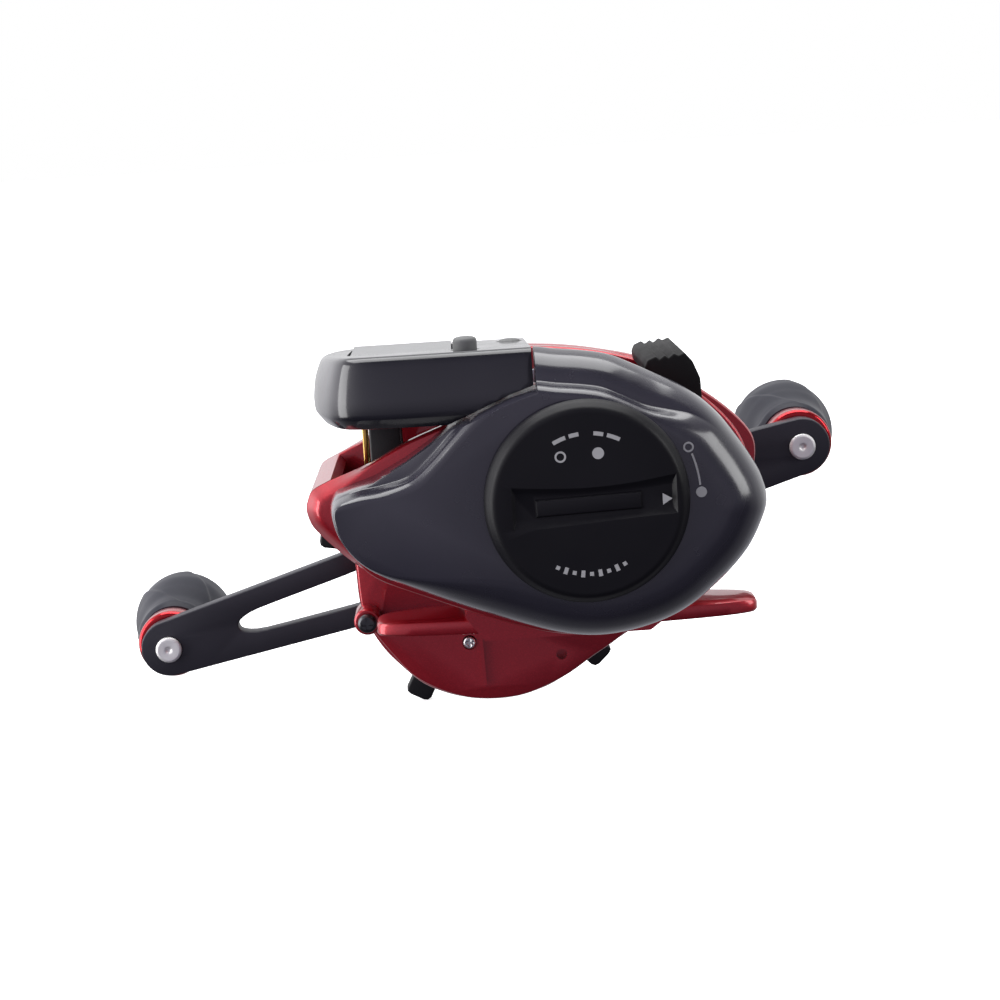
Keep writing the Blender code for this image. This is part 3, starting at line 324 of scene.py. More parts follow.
def prism_z(name, outline, z0, z1, mat=None, body=None, node=None, slot=None):
    bm = bmesh.new()
    a = [bm.verts.new((x, y, z0)) for x, y in outline]
    b = [bm.verts.new((x, y, z1)) for x, y in outline]
    n = len(outline)
    bm.faces.new(a)
    bm.faces.new(list(reversed(b)))
    for i in range(n):
        j = (i + 1) % n
        bm.faces.new((a[i], b[i], b[j], a[j]))
    return link(name, bm, mat, body, node, slot)


def loft_bm(rows):
    bm = bmesh.new()
    grid = [[bm.verts.new(p) for p in row] for row in rows]
    n = len(grid[0])
    for lo, hi in zip(grid, grid[1:]):
        for i in range(n):
            j = (i + 1) % n
            bm.faces.new((lo[i], hi[i], hi[j], lo[j]))
    bm.faces.new(grid[0])
    bm.faces.new(list(reversed(grid[-1])))
    return bm


def turned_bm(profile, centre, seg, axis="Y"):
    bm = bmesh.new()
    rings = []
    for r, h in profile:
        if r < 1e-6:
            p = (centre[0], h, centre[1]) if axis == "Y" else (centre[0], centre[1], h)
            rings.append([bm.verts.new(p)])
            continue
        ring = []
        for k in range(seg):
            t = 2 * math.pi * (k + 0.5) / seg
            u, w = centre[0] + r * math.cos(t), centre[1] + r * math.sin(t)
            ring.append(bm.verts.new((u, h, w) if axis == "Y" else (u, w, h)))
        rings.append(ring)
    m = len(rings)
    for i in range(m):
        a, b = rings[i], rings[(i + 1) % m]
        if len(a) == 1 and len(b) == 1:
            continue
        for k in range(seg):
            l = (k + 1) % seg
            if len(a) == 1:
                bm.faces.new((a[0], b[k], b[l]))
            elif len(b) == 1:
                bm.faces.new((a[k], b[0], a[l]))
            else:
                bm.faces.new((a[k], b[k], b[l], a[l]))
    return bm


def rounded(profile, r=0.2, n=3):
    """Round each corner of a closed (radius, height) profile; poles stay."""
    out = []
    m = len(profile)
    for i in range(m):
        p = Vector(profile[i])
        if p.x < 1e-6:
            out.append(tuple(p))
            continue
        a, b = Vector(profile[i - 1]), Vector(profile[(i + 1) % m])
        da, db = a - p, b - p
        la, lb = da.length, db.length
        if la < 1e-6 or lb < 1e-6:
            out.append(tuple(p))
            continue
        ang = da.angle(db)
        if ang > math.radians(172):
            out.append(tuple(p))
            continue
        k = min(r, 0.45 * la, 0.45 * lb)
        p0, p1 = p + da / la * k, p + db / lb * k
        for s in range(n + 1):
            t = s / n
            q = p0 * (1 - t) ** 2 + p * 2 * t * (1 - t) + p1 * t * t
            out.append((max(q.x, 0.0), q.y))
    return out


def turned(name, profile, centre, mat=None, body=None, node=None, slot=None, seg=64, axis="Y", r=0.2, sharp=40):
    return link(name, turned_bm(rounded(profile, r) if r > 0 else profile, centre, seg, axis), mat, body, node, slot, sharp)


def rod(steps):
    return [(0.0, steps[0][1])] + list(steps) + [(0.0, steps[-1][1])]


def ringp(r0, r1, y0, y1):
    return [(r0, y0), (r1, y0), (r1, y1), (r0, y1)]


def cyl(r, y0, y1, centre, seg=48, axis="Y"):
    return link("tool", turned_bm(rod([(r, y0), (r, y1)]), centre, seg, axis), None, None)


def inset(outline, d):
    n = len(outline)
    area = sum(outline[i][0] * outline[(i + 1) % n][1] - outline[(i + 1) % n][0] * outline[i][1] for i in range(n))
    s = 1.0 if area > 0 else -1.0
    out = []
    for i, (x, z) in enumerate(outline):
        x0, z0 = outline[i - 1]
        x1, z1 = outline[(i + 1) % n]
        tx, tz = x1 - x0, z1 - z0
        L = math.hypot(tx, tz) or 1.0
        k = d(i) if callable(d) else d
        out.append((x - s * tz / L * k, z + s * tx / L * k))
    return out


def fine(ring, k=5, corners=()):
    """Closed Catmull-Rom through the ring's points, k steps a side; at the
    listed indices the curve keeps a corner."""
    n = len(ring)
    pts = [Vector(p) for p in ring]
    out = []
    for i in range(n):
        p0, p1, p2, p3 = pts[i - 1], pts[i], pts[(i + 1) % n], pts[(i + 2) % n]
        if i in corners:
            p0 = p1 - (p2 - p1)
        if (i + 1) % n in corners:
            p3 = p2 + (p2 - p1)
        for s in range(k):
            t = s / k
            q = 0.5 * (2 * p1 + (p2 - p0) * t + (2 * p0 - 5 * p1 + 4 * p2 - p3) * t * t + (3 * p1 - p0 - 3 * p2 + p3) * t ** 3)
            out.append(tuple(q))
    return out


def smooth_outline(points, n):
    dense = fine(points, 12)
    lens = [0.0]
    k = len(dense)
    for i in range(k):
        a, b = dense[i], dense[(i + 1) % k]
        lens.append(lens[-1] + math.hypot(b[0] - a[0], b[1] - a[1]))
    out, j = [], 0
    for i in range(n):
        want = lens[-1] * i / n
        while lens[j + 1] < want:
            j += 1
        t = (want - lens[j]) / ((lens[j + 1] - lens[j]) or 1.0)
        a, b = dense[j], dense[(j + 1) % k]
        out.append((a[0] + (b[0] - a[0]) * t, a[1] + (b[1] - a[1]) * t))
    return out


def monotone(xs, ys, x):
    """Piecewise cubic through the points without overshoot."""
    n = len(xs)
    if x <= xs[0]:
        return ys[0]
    if x >= xs[-1]:
        return ys[-1]
    h = [xs[i + 1] - xs[i] for i in range(n - 1)]
    d = [(ys[i + 1] - ys[i]) / h[i] for i in range(n - 1)]
    m = [d[0]] + [0.0 if d[i - 1] * d[i] <= 0 else 2 * d[i - 1] * d[i] / (d[i - 1] + d[i]) for i in range(1, n - 1)] + [d[-1]]
    for i in range(n - 1):
        if x <= xs[i + 1]:
            t = (x - xs[i]) / h[i]
            return ((1 + 2 * t) * (1 - t) ** 2 * ys[i] + t * (1 - t) ** 2 * h[i] * m[i]
                    + t * t * (3 - 2 * t) * ys[i + 1] + t * t * (t - 1) * h[i] * m[i + 1])


def box_bm(x0, x1, y0, y1, z0, z1):
    return prism_bm([(x0, z0), (x1, z0), (x1, z1), (x0, z1)], y0, y1)


def tool_box(x0, x1, y0, y1, z0, z1):
    return link("tool", box_bm(x0, x1, y0, y1, z0, z1), None, None, smooth=False)


# ============================================================ palm side plate
PALM = [(-3.6, 43.3), (0.4, 42.7), (5.9, 41.9), (10.0, 40.2), (14.1, 38.1), (18.2, 35.8),
        (22.2, 32.0), (24.9, 28.1), (27.0, 24.6), (28.2, 20.7), (27.3, 17.1), (25.2, 13.2),
        (21.7, 9.4), (16.8, 5.5), (12.4, 3.5), (8.1, 2.4), (3.8, 2.0), (-0.4, 2.4),
        (-4.6, 3.5), (-10.2, 5.5), (-15.0, 7.4), (-19.2, 9.3), (-23.3, 11.3), (-26.2, 12.9),
        (-28.6, 14.7), (-30.8, 17.2), (-32.2, 20.0), (-33.0, 23.2), (-31.0, 25.2), (-27.0, 27.8),
        (-22.0, 32.0), (-17.0, 37.0), (-13.0, 40.3), (-8.5, 42.6)]
NOTCH = [(-60.0, 60.0), (-60.0, 24.3), (-33.2, 24.3), (-30.8, 25.0), (-26.4, 26.4), (-22.0, 28.7),
         (-18.4, 31.0), (-15.8, 32.8), (-11.3, 34.8), (-7.0, 36.6), (-3.3, 37.7), (-3.3, 60.0)]
palm0 = smooth_outline(PALM, 44)


def smooth01(t):
    t = min(1.0, max(0.0, t))
    return t * t * (3 - 2 * t)


def blend_top(d_top, d_low):
    """Inset of each outline point: the shoulder differs between top and
    bottom, and the flat face runs almost out to the front tip."""
    def f(i):
        x, z = palm0[i]
        d = d_low + (d_top - d_low) * smooth01((z - 22.0) / 9.0) * (1.0 - smooth01((x - 13.0) / 10.0))
        low = 0.12 + 0.88 * smooth01((x + 31.0) / 22.0)
        high = 0.20 + 0.80 * smooth01((x + 32.0) / 9.0)
        return d * (low + (high - low) * smooth01((z - 22.0) / 4.0))
    return f


# (y, inset at the top, inset at the bottom)
PROFILE = [(-15.0, 0.9, 0.9), (-15.3, 0.45, 0.45), (-16.2, 0.1, 0.1), (-17.2, 0.0, 0.0), (-18.6, 0.3, 0.11),
           (-19.9, 0.85, 0.41), (-20.9, 1.6, 0.79), (-21.6, 2.45, 1.15), (-22.0, 3.3, 1.4), (-22.3, 4.15, 1.61),
           (-22.9, 4.4, 2.09), (-24.1, 4.6, 3.46), (-24.8, 5.0, 4.81), (-25.1, 5.45, 5.9), (-25.2, 6.0, 7.0)]
ts = [i for i in range(len(PROFILE))]
rows = []
STEPS = 4
for s in range((len(PROFILE) - 1) * STEPS + 1):
    t = s / STEPS
    y, dt, dl = (monotone(ts, [p[k] for p in PROFILE], t) for k in range(3))
    ring = fine(inset(palm0, blend_top(dt, dl)), 5)
    rows.append([(x, y, z) for x, z in ring])
plate = link("palm_plate_shell", loft_bm(rows), M["plate"], "body", "palm_side_plate", "gloss_black")
fine_notch = NOTCH[:2] + NOTCH[2:]
boolean(plate, link("tool", prism_bm(NOTCH, -40, -10), None, None, smooth=False))
bevel(plate, 0.22, 2, 50)
boolean(plate, turned("tool", rod([(12.95, -30.0), (12.95, -22.8), (10.4, -22.8), (10.4, -19.2)]), DIAL, seg=96, r=0))
boolean(plate, turned("tool", [(6.3, -18.0), (14.6, -18.0), (14.6, -14.0), (6.3, -14.0)], SPOOL, seg=64, r=0))
boolean(plate, cyl(4.2, -17.2, -14.0, SPOOL, 40))
resmooth(plate, 30)
settle(plate)

# ============================================================ battery cap
cap = turned("battery_cap_dial", rod([(12.0, -23.2), (12.4, -23.5), (12.4, -23.8), (11.8, -23.8), (11.8, -24.6), (12.4, -24.6),
                                      (12.4, -25.5), (13.9, -25.5), (14.1, -26.2), (13.75, -26.9), (13.1, -27.75), (12.6, -28.0)]),
             DIAL, M["dial"], "cap", "battery_cap", "satin_black", seg=128, r=0.25)


def cutter_rows(rows):
    return link("tool", loft_bm(rows), None, None, smooth=False)


# shallow waisted hollow across the dial, deepest about the grip bar
hollow = []
for y, g in ((-29.0, 1.0), (-28.0, 0.85), (-27.8, 0.6), (-27.6, 0.3), (-27.45, 0.0)):
    ring = []
    up = [(-10.4, 3.0), (-6.0, 2.6), (0.0, 2.35), (6.0, 2.7), (12.2, 3.6)]
    lo = [(12.2, -2.2), (6.0, -2.5), (0.0, -2.9), (-6.0, -3.3), (-10.4, -3.5)]
    for x, z in up + lo:
        k = 0.55 + 0.45 * g
        ring.append((DIAL[0] + x * (0.94 + 0.06 * g), y, DIAL[1] + z * k))
    hollow.append([(p[0], p[1], p[2]) for p in ring])
hollow = [[(x, y, z) for (x, z), y in ((q, row[0][1]) for q in fine([(p[0], p[2]) for p in row], 5, (0, 4, 5, 9)))] for row in hollow]
boolean(cap, cutter_rows(hollow))
grip_rows = []
for y, sx, sz in ((-26.4, 7.45, 1.38), (-27.6, 7.25, 1.22), (-27.95, 7.05, 1.02), (-28.0, 6.9, 0.9)):
    ring = []
    for x, z in ((-1, -1), (1, -1), (1, 1), (-1, 1)):
        ring.append((DIAL[0] + 0.1 + x * sx, y, DIAL[1] - 0.15 + z * sz + 0.026 * x * sx))
    grip_rows.append(ring)
boolean(cap, cutter_rows(grip_rows), "UNION")
bevel(cap, 0.12, 2, 40)
resmooth(cap, 28)
settle(cap)

# printed marks: generic open and closed signs, a pointer and arc ticks
FACE_Y = -28.0


def disc_bm(cx, cz, r, y, t=0.03, seg=40, r_in=0.0):
    if r_in > 0:
        return turned_bm([(r_in, y), (r, y), (r, y - t), (r_in, y - t)], (cx, cz), seg)
    return turned_bm([(0.0, y), (r, y), (r, y - t), (0.0, y - t)], (cx, cz), seg)


def arc_bm(cx, cz, r, w, a0, a1, y, t=0.03, n=24):
    outer = [(cx + (r + w / 2) * math.cos(a0 + (a1 - a0) * k / n), cz + (r + w / 2) * math.sin(a0 + (a1 - a0) * k / n)) for k in range(n + 1)]
    inn = [(cx + (r - w / 2) * math.cos(a0 + (a1 - a0) * k / n), cz + (r - w / 2) * math.sin(a0 + (a1 - a0) * k / n)) for k in range(n, -1, -1)]
    return prism_bm(outer + inn, y - t, y)


def mark(name, bm, body):
    ob = link(name, bm, M["mark"], body, None, "steel", smooth=False)
    return settle(ob)


rad = math.radians
my = FACE_Y - 0.005
mark("mark_open_ring", disc_bm(-0.9, 29.3, 0.78, my, r_in=0.52), "cap")
mark("mark_closed_dot", disc_bm(4.2, 29.5, 0.80, my), "cap")
mark("mark_pointer", prism_bm([(12.6, 23.5), (12.6, 21.9), (13.9, 22.7)], my - 0.03, my), "cap")
for k, (a0, a1) in enumerate(((118, 107), (104, 96), (84, 76), (73, 62))):
    mark("mark_top_tick_%d" % k, arc_bm(DIAL[0] + 0.2, DIAL[1], 9.6, 0.55, rad(a0), rad(a1), my), "cap")
for k, a in enumerate(range(-118, -61, 7)):
    mark("mark_low_tick_%d" % k, arc_bm(DIAL[0], DIAL[1], 9.7, 0.95 if k % 2 else 0.55, rad(a - 1.6), rad(a + 1.6), my), "cap")
py = -25.2 - 0.005
mark("mark_plate_open", disc_bm(16.7, 29.1, 0.72, py, r_in=0.48), "body")
mark("mark_plate_closed", disc_bm(18.2, 22.8, 0.74, py), "body")
mark("mark_plate_arc", arc_bm(DIAL[0], DIAL[1], 15.6, 0.26, rad(4.0), rad(20.5), py), "body")

# ============================================================ frame with foot
ring = [(-33.0, 25.6), (-35.6, 24.3), (-36.5, 22.7), (-36.7, 21.2), (-36.1, 19.2), (-34.8, 17.5),
        (-33.2, 15.8), (-31.2, 13.9), (-29.0, 12.2), (-26.0, 10.6), (-19.5, 7.8), (-15.2, 6.0),
        (-10.3, 4.1), (-4.6, 2.2), (-0.4, 1.4), (3.8, 1.1), (8.1, 1.5), (12.4, 2.7), (16.8, 4.8),
        (21.6, 8.7), (24.9, 12.6), (26.9, 16.8), (27.7, 20.7), (26.4, 24.5), (24.4, 27.8),
        (21.8, 31.5), (17.9, 35.3), (13.9, 37.6), (9.9, 39.7), (5.8, 41.3), (0.4, 42.1),
        (-2.4, 42.5), (-2.4, 37.9), (-7.0, 36.6), (-11.3, 34.8), (-15.8, 32.8), (-20.6, 31.0),
        (-23.2, 29.8), (-26.6, 28.0), (-29.6, 26.8)]
gear_ring = [(-33.0, 25.6), (-35.6, 24.3), (-36.5, 22.7), (-36.7, 21.2), (-36.1, 19.2), (-34.8, 17.5),
             (-33.2, 15.8), (-32.1, 13.0), (-31.7, 8.0), (-31.5, 3.0), (-31.0, -0.4), (-29.2, -3.6),
             (-26.9, -6.8), (-24.3, -10.0), (-21.6, -12.0), (-18.3, -13.6), (-14.8, -14.6), (-10.7, -14.9),
             (-6.8, -14.5), (-2.9, -13.2), (0.7, -11.4), (4.2, -9.1), (8.2, -6.6), (11.8, -3.6), (15.0, 0.2),
             (18.4, 4.6), (22.4, 8.7), (25.6, 12.6), (28.4, 16.8), (29.8, 20.7), (28.8, 24.5),
             (26.2, 28.2), (22.4, 31.7), (18.0, 34.9), (13.9, 37.0), (8.5, 38.7), (2.3, 39.8),
             (-3.3, 40.3), (-3.3, 37.7), (-7.0, 36.6), (-11.3, 34.8), (-15.8, 32.8), (-20.6, 31.0),
             (-24.0, 29.6), (-27.5, 28.0), (-30.4, 26.8)]
apron = [(-33.0, 25.6), (-35.6, 24.3), (-36.5, 22.7), (-36.7, 21.2), (-36.1, 19.2), (-34.8, 17.5),
         (-33.2, 15.8), (-31.2, 13.9), (-29.0, 12.2), (-26.0, 10.6), (-25.2, 12.4), (-27.9, 13.8),
         (-29.8, 15.3), (-31.7, 17.1), (-33.2, 18.8), (-34.3, 20.6), (-34.4, 22.2), (-33.6, 23.4),
         (-32.0, 24.3)]
rear_bar = [(20.2, 10.6), (22.4, 11.4), (24.4, 14.0), (26.0, 18.6), (25.6, 22.6), (24.0, 25.2),
            (22.6, 24.6), (22.9, 20.5), (22.0, 16.0), (19.6, 12.2)]
bridge = [(-14.6, 6.0), (-15.2, 4.6), (-12.6, 0.9), (11.4, 0.9), (16.2, 4.3), (15.4, 5.6), (11.2, 4.2),
          (5.5, 3.7), (-3.0, 3.7), (-9.2, 4.7)]


def corner_at(outline, pts):
    return tuple(i for i, p in enumerate(outline) if any(abs(p[0] - a) + abs(p[1] - b) < 0.01 for a, b in pts))


def soft_prism(name, outline, y0, y1, w, corners=(), k=4, mat=None, body=None, node=None, slot=None, lip=0.0):
    """Extruded outline whose front and back edges are rounded by w; lip
    widens the front edge into a slope round the nose of the reel."""
    coarse = outline
    rows = []
    def nose(i):
        return lip * smooth01((-27.0 - outline[i][0]) / 6.0)
    steps = [(y0, w, 1.0), (y0 + 0.3 * w, 0.45 * w, 0.92), (y0 + w, 0.0, 0.80), (y0 + 0.5 * (y1 - y0), 0.0, 0.42),
             (y1 - w, 0.0, 0.03), (y1 - 0.3 * w, 0.45 * w, 0.0), (y1, w, 0.0)]
    for y, d, q in steps:
        r = fine(inset(coarse, lambda i: d + q * nose(i)), k, corners)
        rows.append([(x, y, z) for x, z in r])
    return link(name, loft_bm(rows), mat, body, node, slot)


c_ring = corner_at(ring, [(-33.0, 25.6), (-2.4, 42.5), (-2.4, 37.9)])
c_gear = corner_at(gear_ring, [(-33.0, 25.6), (-3.3, 40.3), (-3.3, 37.7)])
c_apron = corner_at(apron, [(-33.0, 25.6), (-26.0, 10.6), (-25.2, 12.4), (-32.0, 24.3)])
fr = soft_prism("reel_frame", ring, -14.7, -11.7, 0.35, c_ring, 4, M["red"], "body", "frame", "red_paint", lip=1.9)
boolean(fr, soft_prism("tool", gear_ring, 11.7, 14.2, 0.35, c_gear), "UNION")
boolean(fr, link("tool", prism_bm(fine(apron, 4, c_apron), -11.9, 12.9), None, None), "UNION")
boolean(fr, link("tool", prism_bm(fine(rear_bar, 4), -13.2, 12.9), None, None), "UNION")
boolean(fr, link("tool", prism_bm(bridge, -13.2, 12.9), None, None), "UNION")
# foot: crowned tongue with rounded ends
HALF_FOOT = 28.5
plan = []
N = 64
for i in range(N):
    a = 2 * math.pi * i / N
    ca, sa = math.cos(a), math.sin(a)
    x = HALF_FOOT * math.copysign(abs(ca) ** 0.45, ca)
    e = abs(x) / HALF_FOOT
    w = 6.0 - 1.2 * max(0.0, (e - 0.3) / 0.7) ** 1.1
    y = w * math.copysign(abs(sa) ** 0.36, sa)
    plan.append((x, y))


def foot_row(z, d, scale=0.0, use_top=False):
    out = []
    for x, y in plan:
        e = abs(x) / HALF_FOOT
        k = 1.0 - d / HALF_FOOT
        yy = y - math.copysign(min(d, abs(y)), y)
        top = 2.6 - 0.35 * e ** 2.2
        zz = z if not use_top else top - scale
        out.append((x * k, yy, zz))
    return out


foot = link("tool", loft_bm([foot_row(0.0, 0.55), foot_row(0.12, 0.2), foot_row(0.45, 0.0), foot_row(0, 0.0, 0.75, True),
                             foot_row(0, 0.18, 0.35, True), foot_row(0, 0.6, 0.12, True), foot_row(0, 1.6, 0.0, True)]), None, None)
boolean(fr, foot, "UNION")
boolean(fr, turned("tool", rod([(1.8, 8.4), (2.1, 8.7), (2.1, 14.1)]), (-30.4, -0.4), seg=40, r=0.12), "UNION")
# swept hollow over the drive housing: it deepens downwards and ends in a bright ridge
line_a = [(-28.5, 0.5), (-27.4, 0.7), (-25.0, 0.95), (-21.5, 1.35), (-18.9, 1.6), (-14.0, 2.2), (-6.0, 3.2)]
ridge = [(-28.8, -1.4), (-27.3, -2.75), (-24.5, -3.3), (-21.5, -3.3), (-18.8, -3.1), (-14.2, -2.1), (-6.0, 1.2)]
la, rg = [], []
for i in range(6):
    for k in range(4):
        t = k / 4
        la.append((line_a[i][0] + (line_a[i + 1][0] - line_a[i][0]) * t, line_a[i][1] + (line_a[i + 1][1] - line_a[i][1]) * t))
        rg.append((ridge[i][0] + (ridge[i + 1][0] - ridge[i][0]) * t, ridge[i][1] + (ridge[i + 1][1] - ridge[i][1]) * t))
gb = bmesh.new()
cols = []
for (ax, az), (bx, bz) in zip(la, rg):
    fade = min(1.0, max(0.0, (-7.0 - ax) / 9.0))
    cols.append([gb.verts.new((ax, 10.6, az)), gb.verts.new((ax, 11.68, az)), gb.verts.new((bx, 11.75 + 1.25 * fade, bz)),
                 gb.verts.new((bx - 0.1, 10.6, bz - 0.9 * fade))])
for c0, c1 in zip(cols, cols[1:]):
    for k in range(4):
        gb.faces.new((c0[k], c0[(k + 1) % 4], c1[(k + 1) % 4], c1[k]))
gb.faces.new(cols[0])
gb.faces.new(list(reversed(cols[-1])))
bmesh.ops.triangulate(gb, faces=gb.faces)
boolean(fr, link("tool", gb, None, None, smooth=False))
boolean(fr, link("tool", prism_bm([(-13.5, -2.9), (-12.9, -2.9), (-12.6, -12.3), (-13.2, -12.5)], 11.1, 12.4), None, None), "UNION")
for t in (cyl(16.2, -16.0, -10.5, SPOOL, 96), cyl(5.0, 10, 15, SPOOL), cyl(4.8, 10, 15, DRIVE), cyl(1.35, 10, 15, WORM),
          cyl(1.35, -14.2, -10.5, WORM), cyl(1.25, -13.4, 13.3, RAIL := (-30.5, 20.6), 24)):
    boolean(fr, t)
sd = Vector((0.6, -0.8))
a, b = Vector((18.0, 32.4)), Vector((20.4, 29.2))
nr = Vector((0.8, 0.6)) * 1.25
boolean(fr, link("tool", prism_bm([tuple(a - sd * 1.25 + nr), tuple(b + sd * 1.25 + nr), tuple(b + sd * 1.25 - nr), tuple(a - sd * 1.25 - nr)], 10, 15.2), None, None, smooth=False))
for t in (cyl(1.05, 6, 13.6, (-30.4, -0.4), 24), cyl(1.05, 10, 13.6, (-14.9, -5.5), 24), cyl(1.2, 10.9, 12.3, (-14.9, -5.5), 32),
          cyl(0.85, 10.9, 13.4, (-0.6, -8.4), 24)):
    boolean(fr, t)
resmooth(fr, 34)
settle(fr)

# ============================================================ gear side cover
COVER = [(-3.3, 40.3), (2.3, 39.8), (8.5, 38.7), (14.7, 37.0), (20.5, 33.6), (26.4, 29.4), (30.6, 25.0),
         (31.6, 21.4), (30.4, 16.8), (26.8, 11.6), (22.4, 6.8), (18.2, 2.2), (14.4, -2.4), (10.8, -5.9),
         (7.0, -8.2), (3.4, -10.6), (0.2, -12.6), (-3.4, -14.4), (-7.2, -15.3), (-11.4, -15.6), (-15.6, -15.3),
         (-19.4, -14.2), (-22.8, -12.4), (-25.8, -9.6), (-28.6, -6.3), (-30.6, -2.6), (-31.8, 1.6),
         (-32.1, 8.0), (-33.0, 13.0), (-34.4, 17.6), (-35.2, 21.4), (-33.6, 24.6), (-29.0, 27.2),
         (-24.0, 29.6), (-18.0, 31.9), (-12.0, 34.2), (-7.5, 36.2), (-3.3, 37.7)]
cc = corner_at(COVER, [(-3.3, 40.3), (-3.3, 37.7)])
rows = []
for y, d in ((14.5, 0.3), (14.8, 0.12), (15.6, 0.0), (17.5, 0.05), (19.5, 0.35), (21.3, 0.85), (22.8, 1.55), (23.9, 2.35), (24.6, 3.2), (24.95, 4.0), (25.0, 4.4)):
    rows.append([(x, y, z) for x, z in fine(inset(COVER, d), 5, cc)])
cover = link("gear_cover_shell", loft_bm(rows), M["red"], "body", "gear_side_cover", "red_paint")
inner = loft_bm([[(x, y, z) for x, z in fine(inset(COVER, d), 2, cc)] for y, d in ((13.0, 1.7), (20.0, 2.1), (23.2, 3.6))])
boolean(cover, link("tool", inner, None, None))
for p in PILLARS:
    boolean(cover, cyl(2.3, 14.9, 24.0, p, 32), "UNION")
    boolean(cover, turned("tool", rod([(1.1, 10), (1.1, 24.2), (2.0, 24.2), (2.0, 28)]), p, seg=32, r=0))
boolean(cover, turned("tool", rod([(9.6, 22.4), (9.6, 26.6), (8.8, 27.3)]), DRIVE, seg=80, r=0.3), "UNION")
boolean(cover, turned("tool", rod([(7.5, 20.0), (7.5, 26.7), (5.0, 26.7), (5.0, 28.0)]), DRIVE, seg=64, r=0))
boolean(cover, cyl(5.1, 21, 28, SPOOL))
boolean(cover, turned("tool", ringp(4.2, 6.0, 22.7, 26.8), SPOOL, seg=48, r=0), "UNION")
resmooth(cover, 32)
settle(cover)

# ============================================================ small round pieces
def cross_recess(ob, c, y, size=1.0, depth=0.5, axis="Y"):
    w = 0.28 * size
    for a0, b0 in ((size, w), (w, size)):
        if axis == "Y":
            boolean(ob, tool_box(c[0] - a0, c[0] + a0, y - depth, y + depth, c[1] - b0, c[1] + b0))


lug = turned("lug_screw_head", rod([(1.05, 7.0), (1.45, 7.3), (1.45, 8.1), (0.8, 8.1), (0.8, 13.3)]), (-30.4, -0.4), M["dark_steel"], "body", "lug_screw", "black_metal", seg=40, r=0.12)
cross_recess(lug, (-30.4, -0.4), 7.0, 1.0, 0.45)
resmooth(lug, 30)
settle(lug)
bps = turned("plate_screw_head", rod([(0.8, 11.3), (0.95, 11.45), (0.95, 12.1), (0.7, 12.1), (0.7, 13.3)]), (-14.9, -5.5), M["steel"], "body", "bearing_plate_screw", "steel", seg=32, r=0.08)
cross_recess(bps, (-14.9, -5.5), 11.3, 0.6, 0.3)
settle(bps)
for i, p in enumerate(PILLARS):
    cs = turned("cover_screw_head_%d" % (i + 1), rod([(0.8, 18.6), (0.8, 24.5), (1.7, 24.5), (1.7, 25.3), (1.25, 25.7)]), p, M["dark_steel"], "body", "cover_screw_%d" % (i + 1), "steel", seg=40, r=0.15)
    cross_recess(cs, p, 25.7, 1.0, 0.5)
    resmooth(cs, 30)
    settle(cs)

# cast control cap with a knurled rim
N = 72
cast_rows = []
for y, r, kn in ((25.3, 7.45, 0.0), (25.5, 7.62, 0.0), (25.8, 7.8, 0.0), (26.0, 7.8, 1.0), (27.5, 7.8, 1.0), (27.7, 7.8, 0.0), (28.0, 7.6, 0.0), (28.3, 7.25, 0.0),
                 (28.35, 6.2, 0.0), (28.15, 5.9, 0.0), (28.15, 4.2, 0.0), (28.4, 3.9, 0.0), (28.5, 3.0, 0.0)):
    row = []
    for k in range(N * 4):
        t = 2 * math.pi * k / (N * 4)
        d = 0.22 * kn * (1.0 if k % 4 in (0, 1) else 0.0)
        row.append((SPOOL[0] + (r - d) * math.cos(t), y, SPOOL[1] + (r - d) * math.sin(t)))
    cast_rows.append(row)
castcap = link("cast_control_knurled", loft_bm(cast_rows), M["star"], "cast_cap", "cast_control_cap", "black_metal")
boolean(castcap, cyl(6.35, 20.0, 27.5, SPOOL, 64))
resmooth(castcap, 25)
settle(castcap)

# ============================================================ spool and level wind
sp = turned("spool_body", [(1.6, -9.0), (7.4, -9.0), (8.2, -11.0), (15.3, -11.0), (15.7, -10.7),
                           (15.7, -10.2), (10.2, -9.6), (9.4, -8.6), (9.4, 8.6), (10.2, 9.6), (15.7, 10.2),
                           (15.7, 10.7), (15.3, 11.0), (8.2, 11.0), (7.4, 9.0), (1.6, 9.0)],
            SPOOL, M["alloy"], "spool_unit", "spool", "alloy", seg=128, r=0.25, sharp=35)
# ring of lightening holes through the flanges
for k in range(10):
    t = 2 * math.pi * (k + 0.5) / 10
    boolean(sp, cyl(1.35, -13, 13, (SPOOL[0] + 12.4 * math.cos(t), SPOOL[1] + 12.4 * math.sin(t)), 24))
resmooth(sp, 35)
settle(sp)

n = 48
worm_r, groove_d, turns = 2.35, 0.55, 2.5
rows = []


def ring_at(r, y):
    return [(WORM[0] + r * math.cos(2 * math.pi * k / n), y, WORM[1] + r * math.sin(2 * math.pi * k / n)) for k in range(n)]


for y, r in ((-13.6, 1.2), (-11.4, 1.2), (-11.2, worm_r), (-10.4, worm_r)):
    rows.append(ring_at(r, y))
for q in range(121):
    y = -9.8 + 19.6 * q / 120
    row = []
    for k in range(n):
        t = 2 * math.pi * k / n
        dip = 0.0
        for hand in (1, -1):
            ph = (t * hand - 2 * math.pi * turns * (y + 9.8) / 19.6) % (2 * math.pi)
            ph = min(ph, 2 * math.pi - ph)
            dip = max(dip, min(1.0, max(0.0, (0.62 - ph) / 0.18)))
        r = worm_r - groove_d * dip
        row.append((WORM[0] + r * math.cos(t), y, WORM[1] + r * math.sin(t)))
    rows.append(row)
for y, r in ((10.4, worm_r), (11.2, worm_r), (11.4, 1.2), (16.6, 1.2)):
    rows.append(ring_at(r, y))
settle(link("worm_grooved", loft_bm(rows), M["steel"], "worm", "worm_shaft", "steel", sharp=28))
